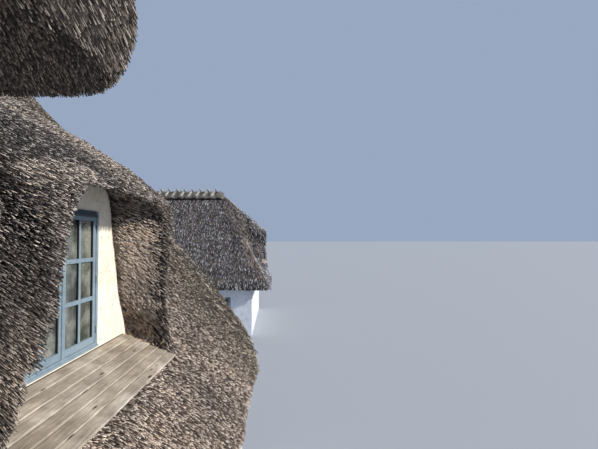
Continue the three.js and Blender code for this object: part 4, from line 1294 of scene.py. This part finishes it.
# %% Front door of upright boards
def boarded_door(node):
    place = in_wall(node)
    half, height, count = 0.499, 2.079, 7
    wood = [
        bar(-half, -half + 0.07, 0, 0.08, 0.001, height), bar(half - 0.07, half, 0, 0.08, 0.001, height),
        bar(-half + 0.07, half - 0.07, 0, 0.08, height - 0.07, height),
        bar(-half + 0.07, half - 0.07, 0.0, 0.08, 0.001, 0.035),
        bar(-half + 0.073, half - 0.073, 0.05, 0.078, 0.038, height - 0.073),
    ]
    step = (2 * half - 0.146) / count
    for i in range(count):
        x = -half + 0.073 + i * step
        wood.append(bar(x + 0.002, x + step - 0.002, 0.03, 0.055, 0.038, height - 0.073))
    door = joined("front_door_boards", wood, blue_paint, place, rounded=0.003)
    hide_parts(node)
    irons = [bar(-half + 0.06, half - 0.33, 0.022, 0.031, z - 0.02, z + 0.02) for z in (0.35, 1.7)]
    irons += [pin(-half + 0.07, 0.018, z, 0.012, 0.07, "Z") for z in (0.35, 1.7)]
    irons += [
        bar(half - 0.145, half - 0.1, 0.024, 0.031, 0.98, 1.2), pin(half - 0.122, 0.005, 1.1, 0.009, 0.05),
        bar(half - 0.235, half - 0.115, -0.022, -0.01, 1.091, 1.109),
    ]
    joined("front_door_ironwork", irons, iron, place, rounded=0.002)


boarded_door("front_door")
print("front door with strap hinges and a lever")

# %% [markdown]
# ## Dormer boards and sill decks
# The boards beside and above a dormer window are panels, so a narrow joint runs up from each upper
# corner of the window. Screws hold them in rows along their edges, and on the east side they run on
# behind the thatch of the reveal. The deck below the window is six larch boards that lap like
# clinker: each lower edge stands proud of the next board and catches the sun.

# %% Panels with joints and screws
BEHIND_THATCH = 0.13


def panel_boards(name, x, y):
    node = name + "_dormer_boards"
    panels = copy_of(name + "_dormer_panels", node)
    cuts = [bar(side * 0.745 - 0.004, side * 0.745 + 0.004, -0.02, 0.012, 1.425, 1.9) for side in (-1, 1)]
    place = Matrix.Translation(at(x, y, SILL))
    cutter = joined("cutter", cuts, board_paint, place, rounded=0)
    apply(panels, "BOOLEAN", object=cutter, operation="DIFFERENCE", solver="EXACT")
    bpy.data.objects.remove(cutter)
    for vertex in panels.data.vertices:
        if vertex.co.x > at(x + 0.8, 0, 0).x:
            vertex.co.x += BEHIND_THATCH
    panels.data.materials.clear()
    panels.data.materials.append(board_paint)
    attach(panels, "root")
    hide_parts(node)
    rows = ((1.53, 0.865), (1.15, 0.985), (0.76, 1.04), (0.375, 1.12))
    screws = [(side * x, z) for z, edge in rows for side in (-1, 1) for x in (0.815, edge)]
    screws += [(-0.79, 0.045), (0.79, 0.045)]
    screws += [(x, 1.53) for x in (-0.68, -0.35, 0.0, 0.35, 0.68)]
    heads = [pin(x, 0.0, z, 0.0065, 0.003, sides=8) for x, z in screws]
    joined(name + "_dormer_screws", heads, screw_zinc, place, rounded=0)


print("panels run on by", round(BEHIND_THATCH * 1000), "mm behind the reed")

# %% Lapped deck boards
DECK_TOP, DECK_LOW, DECK_REACH, DECK_HALF = 3.58, 3.314, 0.64, 1.425


def lapped_deck(name, x, y):
    fall = math.atan2(DECK_TOP - DECK_LOW, DECK_REACH)
    run = math.hypot(DECK_TOP - DECK_LOW, DECK_REACH)
    count, lap = 6, 0.014
    step = run / count
    boards = []
    for i in range(count):
        ends = chance.uniform(-0.012, 0.004, 2)
        board = bar(-DECK_HALF - ends[0], DECK_HALF + ends[1], -step / 2 - lap, step / 2, -0.021, 0.0)
        only(board)
        bpy.ops.object.transform_apply(location=True, scale=True)
        own_tone = board.data.attributes.new("board_tone", "FLOAT", "POINT")
        own_tone.data.foreach_set("value", [chance.random()] * 8)
        lower = [float(vertex.co.y < 0) for vertex in board.data.vertices]
        board.data.attributes.new("board_lower", "FLOAT", "POINT").data.foreach_set("value", lower)
        back = (i + 0.5) * step
        tilt = Matrix.Rotation(fall - 0.16 + chance.normal(0, 0.01), 4, "X")
        middle = Matrix.Translation((0, -back * math.cos(fall), -back * math.sin(fall) + 0.003))
        board.data.transform(middle @ tilt)
        boards.append(board)
    boards_piece = joined(name + "_dormer_deck_boards", boards, deck_wood,
                          Matrix.Translation(at(x, y - 0.0003, DECK_TOP)), rounded=0.003)
    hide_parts(name + "_dormer_deck")


for name, x, y in (
    ("main_west", MAIN_DORMERS[0], 1.02), ("main_east", MAIN_DORMERS[1], 1.02), ("wing", WING_X, 1.25),
):
    panel_boards(name, x, y)
    lapped_deck(name, x, y)
print("dormers dressed: 3")

# %% [markdown]
# ## The rest of the frame
# Walls and floors keep the CAD model's own shape. Only their finish is new.

# %% Finish walls and floors
finishes = {"limewashed_plaster": limewash, "screed": screed, "floor_boards": floor_wood}
for part in frame["record"]["subparts"]:
    node = cad_nodes[part["node"]]
    if part["material_slot"] in finishes and not node.hide_render:
        node.data.materials.clear()
        node.data.materials.append(finishes[part["material_slot"]])
print("CAD nodes still shown:", sum(not node.hide_render for node in cad_nodes.values()))
